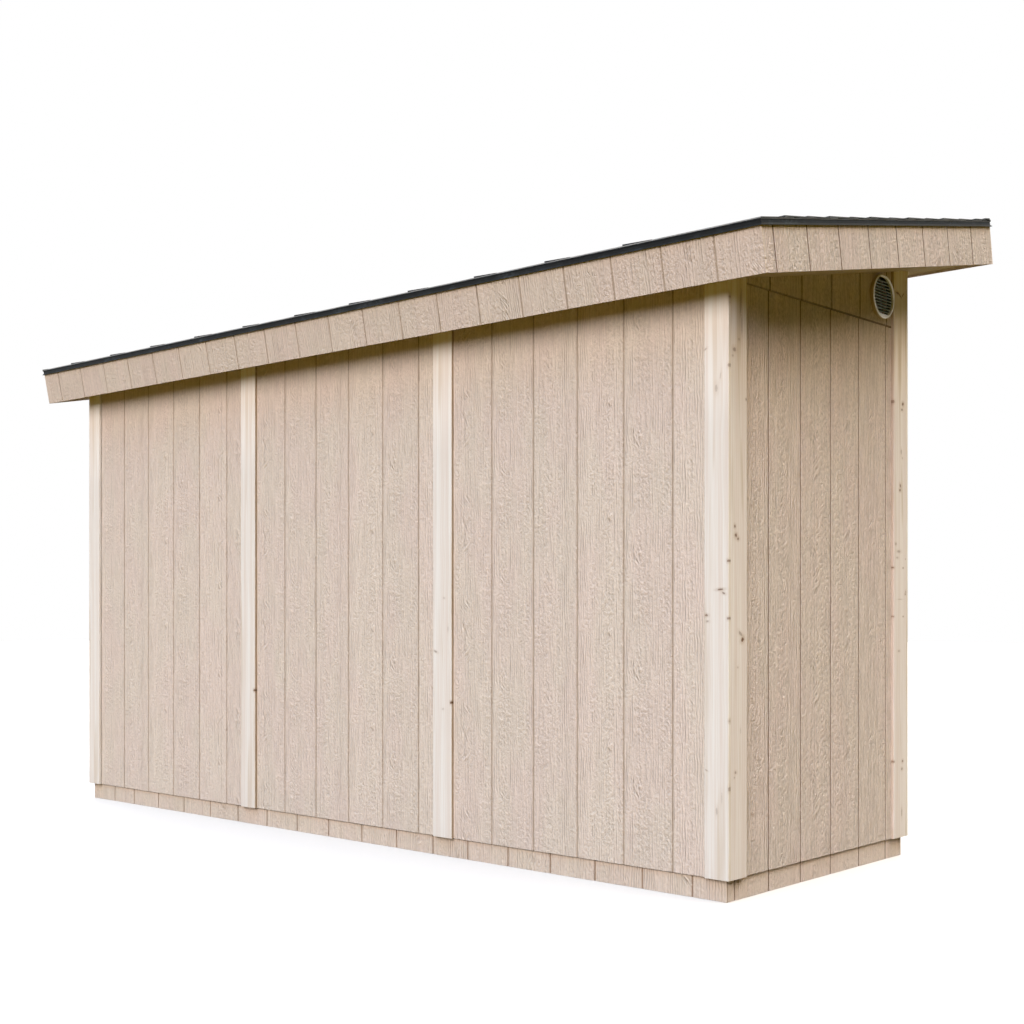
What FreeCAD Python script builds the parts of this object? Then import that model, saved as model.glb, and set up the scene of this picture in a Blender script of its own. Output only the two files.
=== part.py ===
import FreeCAD, Part
import math
import os

os.makedirs("parts", exist_ok=True)

# Garden shed with a single-slope roof. Sizes are in millimetres and angles in degrees.
# The origin is on the ground under the middle of the walls. +Z is up, +X is the right-hand end,
# -Y is the long low side and +Y is the long high side.

# Clearance between pieces that are nailed together
FIT = 0.3

# Walls, measured over the outer faces of the siding
WALL_LENGTH = 3727.0
WALL_DEPTH = 1199.0

# Grooved siding sheet
SIDING_T = 11.0
GROOVE_PITCH = 203.2
GROOVE_MOUTH = 8.0
GROOVE_FLOOR = 5.0
GROOVE_DEPTH = 3.0
GROOVE_EDGE = 25.0
LAP_REACH = 10.0
LAP_GAP = 1.0

# Sheets of a long wall: the two joints, and the first groove of each sheet from its own left edge
JOINT_1 = 1302.0
JOINT_2 = 2494.0
GROOVE_START_1 = 78.5
GROOVE_START_2 = 199.3
GROOVE_START_3 = 206.3

# Sheets of an end wall, with the joint below the gable sheet
JOINT_BELOW_VENT = 18.2
GABLE_JOINT_GAP = 4.0
GROOVE_START_END = 40.3
GABLE_GROOVE_SHIFT = 10.0

# Skirt band round the floor, set back from the wall sheets
SKIRT_GAP = 3.0
SKIRT_RECESS = 7.5
SKIRT_BUTT_GAP = 1.5
SKIRT_BUTT_1 = 270.0
SKIRT_BUTT_2 = 2470.0
SKIRT_GROOVE_1 = 181.0
SKIRT_GROOVE_2 = 75.0
SKIRT_GROOVE_3 = 91.3
SKIRT_GROOVE_END = 45.5

# Trim boards
TRIM_T = 12.0
TRIM_EDGE_R = 1.5
CORNER_BOARD_W = 92.5
END_LOW_BOARD_W = 94.0
END_HIGH_BOARD_W = 98.5
BATTEN_W = 97.6
BATTEN_PAST_JOINT = 10.0

# Floor
JOIST_H = 70.0
JOIST_T = 38.0
JOIST_SPACING = 366.0
DECK_BOARD_T = 15.0

# Wall frames
STUD_T = 38.0
STUD_D = 64.0
STUD_SPACING = 610.0
VENT_BAY = 370.0

# Roof
ROOF_PITCH = 11.0
EAVE_HEIGHT = 1958.5
OVERHANG_LOW = 106.7
OVERHANG_HIGH = 327.6
OVERHANG_RIGHT = 210.0
OVERHANG_LEFT = 223.0
FASCIA_H = 147.0
FASCIA_GROOVE_LONG = 125.0
FASCIA_GROOVE_END = 53.0
SOFFIT_RISE = 11.0
SOFFIT_T = 9.0
RAFTER_T = 38.0
RAFTER_SPACING = 610.0
ROOF_BOARD_T = 11.0

# Metal drip edge
DRIP_T = 1.0
DRIP_FLANGE = 50.0
DRIP_FACE = 17.0
DRIP_KICK_H = 7.0
DRIP_KICK_OUT = 6.0

# Shingles
COURSE = 139.7
SHINGLE_T = 3.5
SHINGLE_OVERHANG = 4.0

# Round louvred vent in each gable, beside the high end board and under the soffit
VENT_R = 82.3
VENT_FROM_BOARD = 1.0
VENT_BELOW_ROOF = 18.4
VENT_PROUD = 16.0
VENT_RIM_W = 7.0
VENT_RIM_LIP = 3.0
VENT_WALL_T = 2.0
VENT_DISH = 3.0
LOUVRE_PITCH = 11.2
LOUVRE_BLANK_TOP = 3.5
LOUVRE_BLANK_FOOT = 8.5
LOUVRE_T = 1.6
LOUVRE_DEPTH = 14.0
LOUVRE_TILT = 42.0

# Values that follow from the sizes above
HALF_LENGTH = WALL_LENGTH / 2
HALF_DEPTH = WALL_DEPTH / 2
INNER_FACE = SIDING_T + FIT
PANEL_BOTTOM = JOIST_H + SKIRT_GAP
SKIRT_HALF_LENGTH = HALF_LENGTH - SKIRT_RECESS
SKIRT_HALF_DEPTH = HALF_DEPTH - SKIRT_RECESS
SLOPE = math.radians(ROOF_PITCH)
SLOPE_LENGTH = (WALL_DEPTH + OVERHANG_LOW + OVERHANG_HIGH) / math.cos(SLOPE)
ROOF_LEFT = -HALF_LENGTH - OVERHANG_LEFT
ROOF_RIGHT = HALF_LENGTH + OVERHANG_RIGHT
ROOF_LENGTH = ROOF_RIGHT - ROOF_LEFT
RAFTER_BOTTOM = SOFFIT_RISE + SOFFIT_T + FIT
WALL_TOP = RAFTER_BOTTOM - FIT
DECK_UNDERSIDE = FASCIA_H + FIT
DECK_TOP = DECK_UNDERSIDE + ROOF_BOARD_T
FLANGE_TOP = DECK_TOP + FIT + DRIP_T
VENT_SLEEVE_R = VENT_R - VENT_RIM_W
FLOOR_TOP = JOIST_H + FIT + DECK_BOARD_T
FRAME_BASE = FLOOR_TOP + FIT

# Length of a piece that the roof cuts off
TALL = EAVE_HEIGHT + WALL_DEPTH

V = FreeCAD.Vector
ORIGIN = V(0, 0, 0)
X_AXIS = V(1, 0, 0)
Y_AXIS = V(0, 1, 0)
Z_AXIS = V(0, 0, 1)


def box(low, high):
    """Solid box between two corners."""
    size = [b - a for a, b in zip(low, high)]
    return Part.makeBox(size[0], size[1], size[2], V(*low))


def prism(points, along):
    """Solid made by pushing a closed outline along a vector."""
    corners = [V(*p) for p in points]
    return Part.Face(Part.makePolygon(corners + [corners[0]])).extrude(V(*along))


def moved(shape, x, y, z):
    """Copy of a shape, moved."""
    copy = shape.copy()
    copy.translate(V(x, y, z))
    return copy


def turned(shape, angle, axis=Z_AXIS):
    """Copy of a shape, turned about an axis through the origin."""
    copy = shape.copy()
    copy.rotate(ORIGIN, axis, angle)
    return copy


def other_end(shape):
    """Copy of a right-hand piece for the left-hand end."""
    return shape.mirror(ORIGIN, X_AXIS)


def on_roof(shape):
    """Take a piece from the roof's own frame (along, up the slope, square to it) to its place."""
    tilted = turned(shape, ROOF_PITCH, X_AXIS)
    return moved(tilted, 0, -HALF_DEPTH - OVERHANG_LOW, EAVE_HEIGHT)


def under_roof(shape, level):
    """Cut off what rises over the roof plane at a level above the fascia's lower edge."""
    sky = box((ROOF_LEFT, -TALL, level), (ROOF_RIGHT, TALL + SLOPE_LENGTH, level + TALL))
    return shape.cut(on_roof(sky))


def groove_places(first, length):
    """Distances of the grooves from the left edge of a sheet."""
    count = max(0, int((length - GROOVE_EDGE - first) / GROOVE_PITCH) + 1)
    return [first + i * GROOVE_PITCH for i in range(count)]


def siding(length, height, first_groove, tongue=False, rebate=False):
    """Upright siding sheet: outer face on y = 0, left edge at x = 0, foot at z = 0.

    A tongue reaches past the right edge, under the next sheet. A rebate on the left edge takes the
    tongue of the sheet before.
    """
    half = SIDING_T / 2
    start = LAP_GAP if rebate else 0.0
    outline = [(start, 0, 0)]
    for x in groove_places(first_groove, length):
        outline.append((x - GROOVE_MOUTH / 2, 0, 0))
        outline.append((x - GROOVE_FLOOR / 2, GROOVE_DEPTH, 0))
        outline.append((x + GROOVE_FLOOR / 2, GROOVE_DEPTH, 0))
        outline.append((x + GROOVE_MOUTH / 2, 0, 0))
    outline.append((length, 0, 0))
    if tongue:
        outline.append((length, half, 0))
        outline.append((length + LAP_REACH, half, 0))
        outline.append((length + LAP_REACH, SIDING_T, 0))
    else:
        outline.append((length, SIDING_T, 0))
    if rebate:
        outline.append((LAP_REACH + LAP_GAP, SIDING_T, 0))
        outline.append((LAP_REACH + LAP_GAP, half - FIT, 0))
        outline.append((start, half - FIT, 0))
    else:
        outline.append((0, SIDING_T, 0))
    return prism(outline, (0, 0, height))


def trim_board(width):
    """Upright board with eased outer edges: back on y = 0, left edge at x = 0, foot at z = 0."""
    board = box((0, -TRIM_T, 0), (width, 0, TALL))
    outer_edges = []
    for edge in board.Edges:
        upright = edge.BoundBox.ZLength > TRIM_T
        if upright and math.isclose(edge.BoundBox.YMax, -TRIM_T, abs_tol=FIT):
            outer_edges.append(edge)
    return board.makeFillet(TRIM_EDGE_R, outer_edges)


def even_places(start, end, width, spacing):
    """Left faces of pieces of one width, evenly spaced between two outer faces."""
    reach = end - start - width
    bays = max(1, math.ceil(reach / spacing))
    return [start + i * reach / bays for i in range(bays + 1)]


# Floor

def floor_frame():
    """Joists between two rim joists, inside the skirt."""
    x_end = SKIRT_HALF_LENGTH - INNER_FACE
    y_end = SKIRT_HALF_DEPTH - INNER_FACE
    y_joist = y_end - JOIST_T - FIT
    pieces = [
        box((-x_end, -y_end, 0), (x_end, JOIST_T - y_end, JOIST_H)),
        box((-x_end, y_end - JOIST_T, 0), (x_end, y_end, JOIST_H)),
    ]
    for x in even_places(-x_end, x_end, JOIST_T, JOIST_SPACING):
        pieces.append(box((x, -y_joist, 0), (x + JOIST_T, y_joist, JOIST_H)))
    return Part.makeCompound(pieces)


def floor_deck():
    """Sheet floor on the joists, which reaches over the skirt to the back of the wall sheets."""
    x_end = HALF_LENGTH - INNER_FACE
    y_end = HALF_DEPTH - INNER_FACE
    return box((-x_end, -y_end, JOIST_H + FIT), (x_end, y_end, FLOOR_TOP))


# Skirt

def long_skirt():
    """Three butted strips of siding along the foot of the low side."""
    ends = [
        (0.0, SKIRT_BUTT_1, SKIRT_GROOVE_1),
        (SKIRT_BUTT_1 + SKIRT_BUTT_GAP, SKIRT_BUTT_2, SKIRT_GROOVE_2),
        (SKIRT_BUTT_2 + SKIRT_BUTT_GAP, 2 * SKIRT_HALF_LENGTH, SKIRT_GROOVE_3),
    ]
    strips = []
    for start, end, groove in ends:
        strip = siding(end - start, JOIST_H, groove)
        strips.append(moved(strip, start - SKIRT_HALF_LENGTH, -SKIRT_HALF_DEPTH, 0))
    return Part.makeCompound(strips)


def end_skirt():
    """Strip of siding across the foot of the right-hand end, between the long strips."""
    strip = siding(2 * (SKIRT_HALF_DEPTH - INNER_FACE), JOIST_H, SKIRT_GROOVE_END - INNER_FACE)
    return moved(turned(strip, 90), SKIRT_HALF_LENGTH, INNER_FACE - SKIRT_HALF_DEPTH, 0)


# Wall sheets

def long_sheets():
    """The three sheets of a long wall, on the low side and full height, before the roof cuts them."""
    edges = [0.0, JOINT_1, JOINT_2, WALL_LENGTH]
    grooves = [GROOVE_START_1, GROOVE_START_2, GROOVE_START_3]
    sheets = []
    for i, first in enumerate(grooves):
        sheet = siding(edges[i + 1] - edges[i], TALL, first, tongue=i < 2, rebate=i > 0)
        sheets.append(moved(sheet, edges[i] - HALF_LENGTH, -HALF_DEPTH, PANEL_BOTTOM))
    return sheets


def end_sheet(shift):
    """Right-hand end sheet of full height, with its grooves moved along by a shift."""
    length = WALL_DEPTH - 2 * INNER_FACE
    sheet = siding(length, TALL, GROOVE_START_END - INNER_FACE + shift)
    return moved(turned(sheet, 90), HALF_LENGTH, INNER_FACE - HALF_DEPTH, PANEL_BOTTOM)


def gable_foot():
    """Height of the gable sheet's lower edge, just under the vent."""
    return vent_centre()[2] - VENT_R - JOINT_BELOW_VENT


def lower_end_sheet():
    """Sheet from the foot of the end wall to the joint, clipped by the roof at its low corner."""
    joint = box((0, -HALF_DEPTH, 0), (WALL_LENGTH, HALF_DEPTH, gable_foot() - GABLE_JOINT_GAP))
    return under_roof(end_sheet(0).common(joint), WALL_TOP)


def gable_sheet():
    """Tapered sheet over the joint, with the round hole for the vent."""
    foot = gable_foot()
    upper = box((0, -HALF_DEPTH, foot), (WALL_LENGTH, HALF_DEPTH, foot + TALL))
    sheet = under_roof(end_sheet(GABLE_GROOVE_SHIFT).common(upper), WALL_TOP)
    hole = Part.makeCylinder(VENT_SLEEVE_R + FIT, 4 * SIDING_T, V(-2 * SIDING_T, 0, 0), X_AXIS)
    return sheet.cut(moved(hole, *vent_centre()))


# Trim boards

def below_soffit(board):
    """Bevel the top of a board so that it ends under the soffit."""
    return under_roof(board, SOFFIT_RISE - FIT)


def long_face_boards():
    """Left corner, two battens and right corner boards of the low side, before the roof cut."""
    outer = HALF_LENGTH + FIT + TRIM_T
    place_y = -HALF_DEPTH - FIT
    left_x = -outer
    right_x = outer - CORNER_BOARD_W
    corner = trim_board(CORNER_BOARD_W)
    batten = trim_board(BATTEN_W)
    boards = [moved(corner, left_x, place_y, PANEL_BOTTOM)]
    for joint in (JOINT_1, JOINT_2):
        x = joint - HALF_LENGTH + BATTEN_PAST_JOINT - BATTEN_W
        boards.append(moved(batten, x, place_y, PANEL_BOTTOM))
    boards.append(moved(corner, right_x, place_y, PANEL_BOTTOM))
    return boards


def end_board(width, start):
    """Board on the right-hand end, at a distance from the low corner."""
    return moved(turned(trim_board(width), 90), HALF_LENGTH + FIT, start - HALF_DEPTH, PANEL_BOTTOM)


# Wall frames

def long_wall_frame(y_low):
    """Stud frame of a long wall from its lower side, with the top plate bevelled to the roof."""
    x_end = HALF_LENGTH - INNER_FACE
    y_high = y_low + STUD_D
    top = roof_height(y_low, WALL_TOP)
    plate = box((-x_end, y_low, top - STUD_T), (x_end, y_high, top + STUD_D))
    pieces = [
        box((-x_end, y_low, FRAME_BASE), (x_end, y_high, FRAME_BASE + STUD_T)),
        under_roof(plate, WALL_TOP),
    ]
    for x in even_places(-x_end, x_end, STUD_T, STUD_SPACING):
        pieces.append(box((x, y_low, FRAME_BASE + STUD_T + FIT), (x + STUD_T, y_high, top - STUD_T - FIT)))
    return Part.makeCompound(pieces)


def roof_height(y, level):
    """Height of the roof plane at a level, over a point across the shed."""
    run = y + HALF_DEPTH + OVERHANG_LOW
    return EAVE_HEIGHT + run * math.tan(SLOPE) + level / math.cos(SLOPE)


def end_wall_frame():
    """Stud frame of the right-hand end, with an open bay behind the vent and a sloping top plate."""
    x_out = HALF_LENGTH - INNER_FACE
    x_in = x_out - STUD_D
    y_end = HALF_DEPTH - INNER_FACE - STUD_D - FIT
    room = box((x_in, -y_end, FRAME_BASE), (x_out, y_end, FRAME_BASE + TALL))
    plate = on_roof(box((0, 0, WALL_TOP - STUD_T), (WALL_LENGTH, SLOPE_LENGTH, WALL_TOP))).common(room)
    sill = box((x_in, -y_end, FRAME_BASE), (x_out, y_end, FRAME_BASE + STUD_T))
    pieces = [plate, sill]
    for y in even_places(-y_end, y_end - VENT_BAY, STUD_T, STUD_SPACING):
        stud = box((x_in, y, FRAME_BASE + STUD_T + FIT), (x_out, y + STUD_T, FRAME_BASE + TALL))
        pieces.append(under_roof(stud, WALL_TOP - STUD_T - FIT))
    return Part.makeCompound(pieces)


# Roof

def long_fascia(high):
    """Grooved strip along the low or the high edge of the roof."""
    strip = siding(ROOF_LENGTH, FASCIA_H, FASCIA_GROOVE_LONG)
    if high:
        return on_roof(moved(turned(strip, 180), ROOF_RIGHT, SLOPE_LENGTH, 0))
    return on_roof(moved(strip, ROOF_LEFT, 0, 0))


def end_fascia(left):
    """Grooved strip up the slope at one end, between the long strips."""
    strip = turned(siding(SLOPE_LENGTH - 2 * INNER_FACE, FASCIA_H, FASCIA_GROOVE_END), 90)
    if left:
        return on_roof(moved(other_end(strip), ROOF_LEFT, INNER_FACE, 0))
    return on_roof(moved(strip, ROOF_RIGHT, INNER_FACE, 0))


def soffits():
    """Closed undersides of the low, high, right and left overhangs."""
    whole = on_roof(box((ROOF_LEFT + INNER_FACE, INNER_FACE, SOFFIT_RISE),
                        (ROOF_RIGHT - INNER_FACE, SLOPE_LENGTH - INNER_FACE, SOFFIT_RISE + SOFFIT_T)))
    sides = [
        box((-TALL, -TALL, 0), (TALL, -HALF_DEPTH - FIT, TALL)),
        box((-TALL, HALF_DEPTH + FIT, 0), (TALL, TALL, TALL)),
        box((HALF_LENGTH + FIT, -HALF_DEPTH, 0), (TALL, HALF_DEPTH, TALL)),
        box((-TALL, -HALF_DEPTH, 0), (-HALF_LENGTH - FIT, HALF_DEPTH, TALL)),
    ]
    return Part.makeCompound([whole.common(side) for side in sides])


def rafters():
    """Rafters over the walls, and one behind each end fascia."""
    x_end = HALF_LENGTH - INNER_FACE
    places = even_places(-x_end, x_end, RAFTER_T, RAFTER_SPACING)
    places.append(ROOF_LEFT + INNER_FACE)
    places.append(ROOF_RIGHT - INNER_FACE - RAFTER_T)
    solids = []
    for x in places:
        solids.append(on_roof(box((x, INNER_FACE, RAFTER_BOTTOM),
                                  (x + RAFTER_T, SLOPE_LENGTH - INNER_FACE, FASCIA_H))))
    return Part.makeCompound(solids)


def roof_deck():
    """Sheet roof boarding over the rafters and fascias."""
    return on_roof(box((ROOF_LEFT, 0, DECK_UNDERSIDE), (ROOF_RIGHT, SLOPE_LENGTH, DECK_TOP)))


def shingle_roof():
    """Lapped courses of shingles, three layers thick at each butt edge and two at the next one up.

    The lowest course has only a starter strip below it.
    """
    start = -SHINGLE_OVERHANG
    end = SLOPE_LENGTH + SHINGLE_OVERHANG
    base = FLANGE_TOP + FIT
    edge = ROOF_LEFT - SHINGLE_OVERHANG
    outline = [(edge, start, base)]
    s = start
    while s < end:
        head = min(s + COURSE, end)
        layers = 2 if s == start else 3
        fall = (layers - 2) * (head - s) / COURSE
        outline.append((edge, s, base + layers * SHINGLE_T))
        outline.append((edge, head, base + (layers - fall) * SHINGLE_T))
        s = head
    outline.append((edge, end, base))
    return on_roof(prism(outline, (ROOF_LENGTH + 2 * SHINGLE_OVERHANG, 0, 0)))


def drip_outline():
    """Section of the drip edge as (outward, up) points: flange, face and kicked-out foot."""
    out = FIT + DRIP_T
    foot = FLANGE_TOP - DRIP_FACE
    return [
        (-DRIP_FLANGE, FLANGE_TOP),
        (out, FLANGE_TOP),
        (out, foot + DRIP_KICK_H),
        (out + DRIP_KICK_OUT, foot),
        (FIT + DRIP_KICK_OUT, foot - DRIP_T / 2),
        (FIT, foot + DRIP_KICK_H - DRIP_T / 2),
        (FIT, FLANGE_TOP - DRIP_T),
        (-DRIP_FLANGE, FLANGE_TOP - DRIP_T),
    ]


def mitred(shape, length):
    """Cut both ends of a piece that lies along +x from 0 to a length and faces -y, at 45 degrees."""
    reach = 4 * DRIP_FLANGE
    start = FIT / 2
    end = length - start
    outline = [
        (start - reach, -reach, -reach),
        (end + reach, -reach, -reach),
        (end - reach, reach, -reach),
        (start + reach, reach, -reach),
    ]
    return shape.common(prism(outline, (0, 0, FASCIA_H + 2 * reach)))


def drip_edge(length):
    """Drip edge along +x from 0 to a length, facing -y, with mitred ends."""
    past = 2 * DRIP_KICK_OUT
    outline = [(-past, -out, up) for out, up in drip_outline()]
    return mitred(prism(outline, (length + 2 * past, 0, 0)), length)


def drip_edges():
    """Drip edges of the low, high, right and left edges of the roof."""
    long_edge = drip_edge(ROOF_LENGTH)
    end_edge = drip_edge(SLOPE_LENGTH)
    low = on_roof(moved(long_edge, ROOF_LEFT, 0, 0))
    high = on_roof(moved(turned(long_edge, 180), ROOF_RIGHT, SLOPE_LENGTH, 0))
    right = on_roof(moved(turned(end_edge, 90), ROOF_RIGHT, 0, 0))
    left = on_roof(moved(turned(end_edge, -90), ROOF_LEFT, SLOPE_LENGTH, 0))
    return [low, high, right, left]


# Vent

def vent_centre():
    """Middle of the right-hand vent on the face of the wall."""
    y = HALF_DEPTH - END_HIGH_BOARD_W - VENT_FROM_BOARD - VENT_R
    return (HALF_LENGTH, y, roof_height(y, WALL_TOP) - VENT_BELOW_ROOF - VENT_R)


def ring(points):
    """Solid turned about the x axis from (x, radius) points."""
    corners = [V(x, 0, r) for x, r in points]
    return Part.Face(Part.makePolygon(corners + [corners[0]])).revolve(ORIGIN, X_AXIS, 360)


def louvred_vent():
    """Round vent: a hollow moulded rim, a sleeve through the wall, and a face with tilted louvres."""
    bore = VENT_SLEEVE_R - VENT_WALL_T
    shoulder = VENT_PROUD - VENT_WALL_T
    rim = ring([
        (FIT, VENT_R),
        (VENT_PROUD - VENT_RIM_LIP, VENT_R),
        (VENT_PROUD, VENT_R - VENT_RIM_LIP),
        (VENT_PROUD, VENT_SLEEVE_R),
        (VENT_PROUD - VENT_DISH, bore),
        (-SIDING_T, bore),
        (-SIDING_T, VENT_SLEEVE_R),
        (shoulder - VENT_DISH, VENT_SLEEVE_R),
        (shoulder, VENT_SLEEVE_R + VENT_WALL_T),
        (shoulder, VENT_R - VENT_RIM_LIP),
        (shoulder - VENT_RIM_LIP, VENT_R - VENT_WALL_T),
        (FIT, VENT_R - VENT_WALL_T),
    ])
    face = VENT_PROUD - VENT_DISH
    space = Part.makeCylinder(bore + VENT_WALL_T / 2, SIDING_T + face, V(-SIDING_T, 0, 0), X_AXIS)
    low = LOUVRE_BLANK_FOOT - bore
    high = bore - LOUVRE_BLANK_TOP
    slot = box((-VENT_R, -VENT_R, low), (VENT_R, VENT_R, high))
    plate = space.common(box((face - VENT_WALL_T, -VENT_R, -VENT_R), (face, VENT_R, VENT_R)))
    pieces = [plate.cut(slot)]
    blade = turned(box((-LOUVRE_DEPTH / 2, -VENT_R, -LOUVRE_T / 2), (LOUVRE_DEPTH / 2, VENT_R, LOUVRE_T / 2)),
                   LOUVRE_TILT, Y_AXIS)
    gaps = max(1, round((high - low) / LOUVRE_PITCH))
    for i in range(1, gaps):
        z = low + i * (high - low) / gaps
        pieces.append(moved(blade, face - LOUVRE_DEPTH / 2, 0, z).common(space))
    return rim.multiFuse(pieces).removeSplitter()


# Build every piece under its own name
pieces = {}
pieces["floor_frame"] = floor_frame()
pieces["floor_deck"] = floor_deck()

skirt = long_skirt()
pieces["front_skirt"] = skirt
pieces["back_skirt"] = turned(skirt, 180)
pieces["right_skirt"] = end_skirt()
pieces["left_skirt"] = other_end(pieces["right_skirt"])

for place, sheet in zip(("left", "middle", "right"), long_sheets()):
    pieces["front_siding_" + place] = under_roof(sheet, WALL_TOP)
for place, sheet in zip(("right", "middle", "left"), long_sheets()):
    pieces["back_siding_" + place] = under_roof(turned(sheet, 180), WALL_TOP)
pieces["right_end_siding"] = lower_end_sheet()
pieces["left_end_siding"] = other_end(pieces["right_end_siding"])
gable = gable_sheet()
pieces["right_gable_siding"] = gable
pieces["left_gable_siding"] = other_end(gable)

low_boards = [below_soffit(board) for board in long_face_boards()]
high_boards = [below_soffit(turned(board, 180)) for board in long_face_boards()]
pieces["front_left_corner_board"] = low_boards[0]
pieces["front_battens"] = Part.makeCompound(low_boards[1:3])
pieces["front_right_corner_board"] = low_boards[3]
pieces["back_right_corner_board"] = high_boards[0]
pieces["back_battens"] = Part.makeCompound(high_boards[1:3])
pieces["back_left_corner_board"] = high_boards[3]
pieces["right_end_low_board"] = below_soffit(end_board(END_LOW_BOARD_W, 0))
pieces["right_end_high_board"] = below_soffit(end_board(END_HIGH_BOARD_W, WALL_DEPTH - END_HIGH_BOARD_W))
pieces["left_end_low_board"] = other_end(pieces["right_end_low_board"])
pieces["left_end_high_board"] = other_end(pieces["right_end_high_board"])

pieces["front_wall_frame"] = long_wall_frame(INNER_FACE - HALF_DEPTH)
pieces["back_wall_frame"] = long_wall_frame(HALF_DEPTH - INNER_FACE - STUD_D)
pieces["right_wall_frame"] = end_wall_frame()
pieces["left_wall_frame"] = other_end(pieces["right_wall_frame"])

pieces["front_fascia"] = long_fascia(high=False)
pieces["back_fascia"] = long_fascia(high=True)
pieces["right_fascia"] = end_fascia(left=False)
pieces["left_fascia"] = end_fascia(left=True)
pieces["soffit"] = soffits()
pieces["rafters"] = rafters()
pieces["roof_deck"] = roof_deck()
pieces["shingles"] = shingle_roof()
for side, edge in zip(("front", "back", "right", "left"), drip_edges()):
    pieces[side + "_drip_edge"] = edge

vent = moved(louvred_vent(), *vent_centre())
pieces["right_vent"] = vent
pieces["left_vent"] = other_end(vent)

for name, shape in pieces.items():
    shape.exportStep("parts/" + name + ".step")
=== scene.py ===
"""Garden shed with a single-slope roof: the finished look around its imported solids.

Lengths are in metres. +X points to the right-hand end, -Y to the long low side, +Z up.
"""

import logging
import math
import random
from dataclasses import dataclass, field, replace
from enum import Enum

import bpy
from mathutils import Matrix, Vector

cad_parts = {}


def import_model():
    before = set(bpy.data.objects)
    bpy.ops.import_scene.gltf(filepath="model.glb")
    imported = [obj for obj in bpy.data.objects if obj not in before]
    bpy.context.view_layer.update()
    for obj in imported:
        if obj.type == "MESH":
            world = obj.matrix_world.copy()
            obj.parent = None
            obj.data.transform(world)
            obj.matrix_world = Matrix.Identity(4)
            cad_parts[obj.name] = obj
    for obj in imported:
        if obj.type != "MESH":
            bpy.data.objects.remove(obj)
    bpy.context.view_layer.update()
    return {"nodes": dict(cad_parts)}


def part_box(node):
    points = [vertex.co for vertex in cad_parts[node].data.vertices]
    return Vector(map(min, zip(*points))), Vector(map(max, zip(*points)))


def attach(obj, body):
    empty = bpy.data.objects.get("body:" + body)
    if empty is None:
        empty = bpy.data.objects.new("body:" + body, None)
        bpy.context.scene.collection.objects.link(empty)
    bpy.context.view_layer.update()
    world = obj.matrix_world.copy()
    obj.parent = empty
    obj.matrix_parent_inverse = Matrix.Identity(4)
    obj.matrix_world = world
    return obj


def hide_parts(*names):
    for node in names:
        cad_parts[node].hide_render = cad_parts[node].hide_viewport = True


LOG = logging.getLogger("garden_shed")

ROOF_PITCH = math.radians(11.0)
# Groove sizes of the siding. NEAR and SIDEWAYS are the slack in picking faces by place and by normal.
GROOVE_PITCH = 0.2032
GROOVE_DEPTH = 0.003
GROOVE_FLOOR = 0.005
BODY = "root"
NEAR = 0.001
SIDEWAYS = 0.3

AMBER = (0.34, 0.20, 0.09, 1.0)
SPLASH = (0.30, 0.24, 0.18, 1.0)

Triple = tuple[float, float, float]
Socket = bpy.types.NodeSocket


class Face(Enum):
    """The four sides of the shed, as seen from the low long side."""

    FRONT = "front"
    BACK = "back"
    RIGHT = "right"
    LEFT = "left"


@dataclass(frozen=True)
class Lay:
    """How boards lie on a surface.

    Attributes:
        across: unit vector from board to board.
        along: unit vector along the grain.
        outward: unit vector out of the surface.
    """

    across: Triple
    along: Triple
    outward: Triple

    def plane(self, node: bpy.types.Object) -> float:
        """Distance of a node's outermost face from the origin, along the outward vector."""
        outward = Vector(self.outward)
        return max(vertex.co.dot(outward) for vertex in node.data.vertices)

    def start(self, node: bpy.types.Object) -> float:
        """Smallest distance of a node along the across vector."""
        across = Vector(self.across)
        return min(vertex.co.dot(across) for vertex in node.data.vertices)

    def first_groove(self, node: bpy.types.Object) -> float:
        """Find the middle of the first groove across a sheet.

        Args:
            node: a grooved sheet.

        Returns:
            Distance of the groove's middle along the across vector.
        """
        across, outward, face = Vector(self.across), Vector(self.outward), self.plane(node)
        floor = [vertex.co.dot(across) for vertex in node.data.vertices
                 if abs(face - vertex.co.dot(outward) - GROOVE_DEPTH) < 0.0005]
        return min(floor) + GROOVE_FLOOR / 2 if floor else self.start(node)


def upright(face: Face) -> Lay:
    """Lay of upright boards on a wall.

    Args:
        face: the side of the shed that the wall is on.

    Returns:
        The lay with its grain upright.
    """
    lays = {
        Face.FRONT: ((1, 0, 0), (0, -1, 0)),
        Face.BACK: ((-1, 0, 0), (0, 1, 0)),
        Face.RIGHT: ((0, 1, 0), (1, 0, 0)),
        Face.LEFT: ((0, -1, 0), (-1, 0, 0)),
    }
    across, outward = lays[face]
    return Lay(across, (0, 0, 1), outward)


def square_to_roof(face: Face) -> Lay:
    """Lay of the fascia strips, whose grain is square to the roof.

    Args:
        face: the side of the shed that the fascia is on.

    Returns:
        The lay with its grain square to the slope.
    """
    slope = (0, math.cos(ROOF_PITCH), math.sin(ROOF_PITCH))
    rise = (0, -math.sin(ROOF_PITCH), math.cos(ROOF_PITCH))
    down = tuple(-value for value in slope)
    lays = {
        Face.FRONT: Lay((1, 0, 0), rise, down),
        Face.BACK: Lay((-1, 0, 0), rise, slope),
        Face.RIGHT: Lay(slope, rise, (1, 0, 0)),
        Face.LEFT: Lay(down, rise, (-1, 0, 0)),
    }
    return lays[face]


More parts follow.
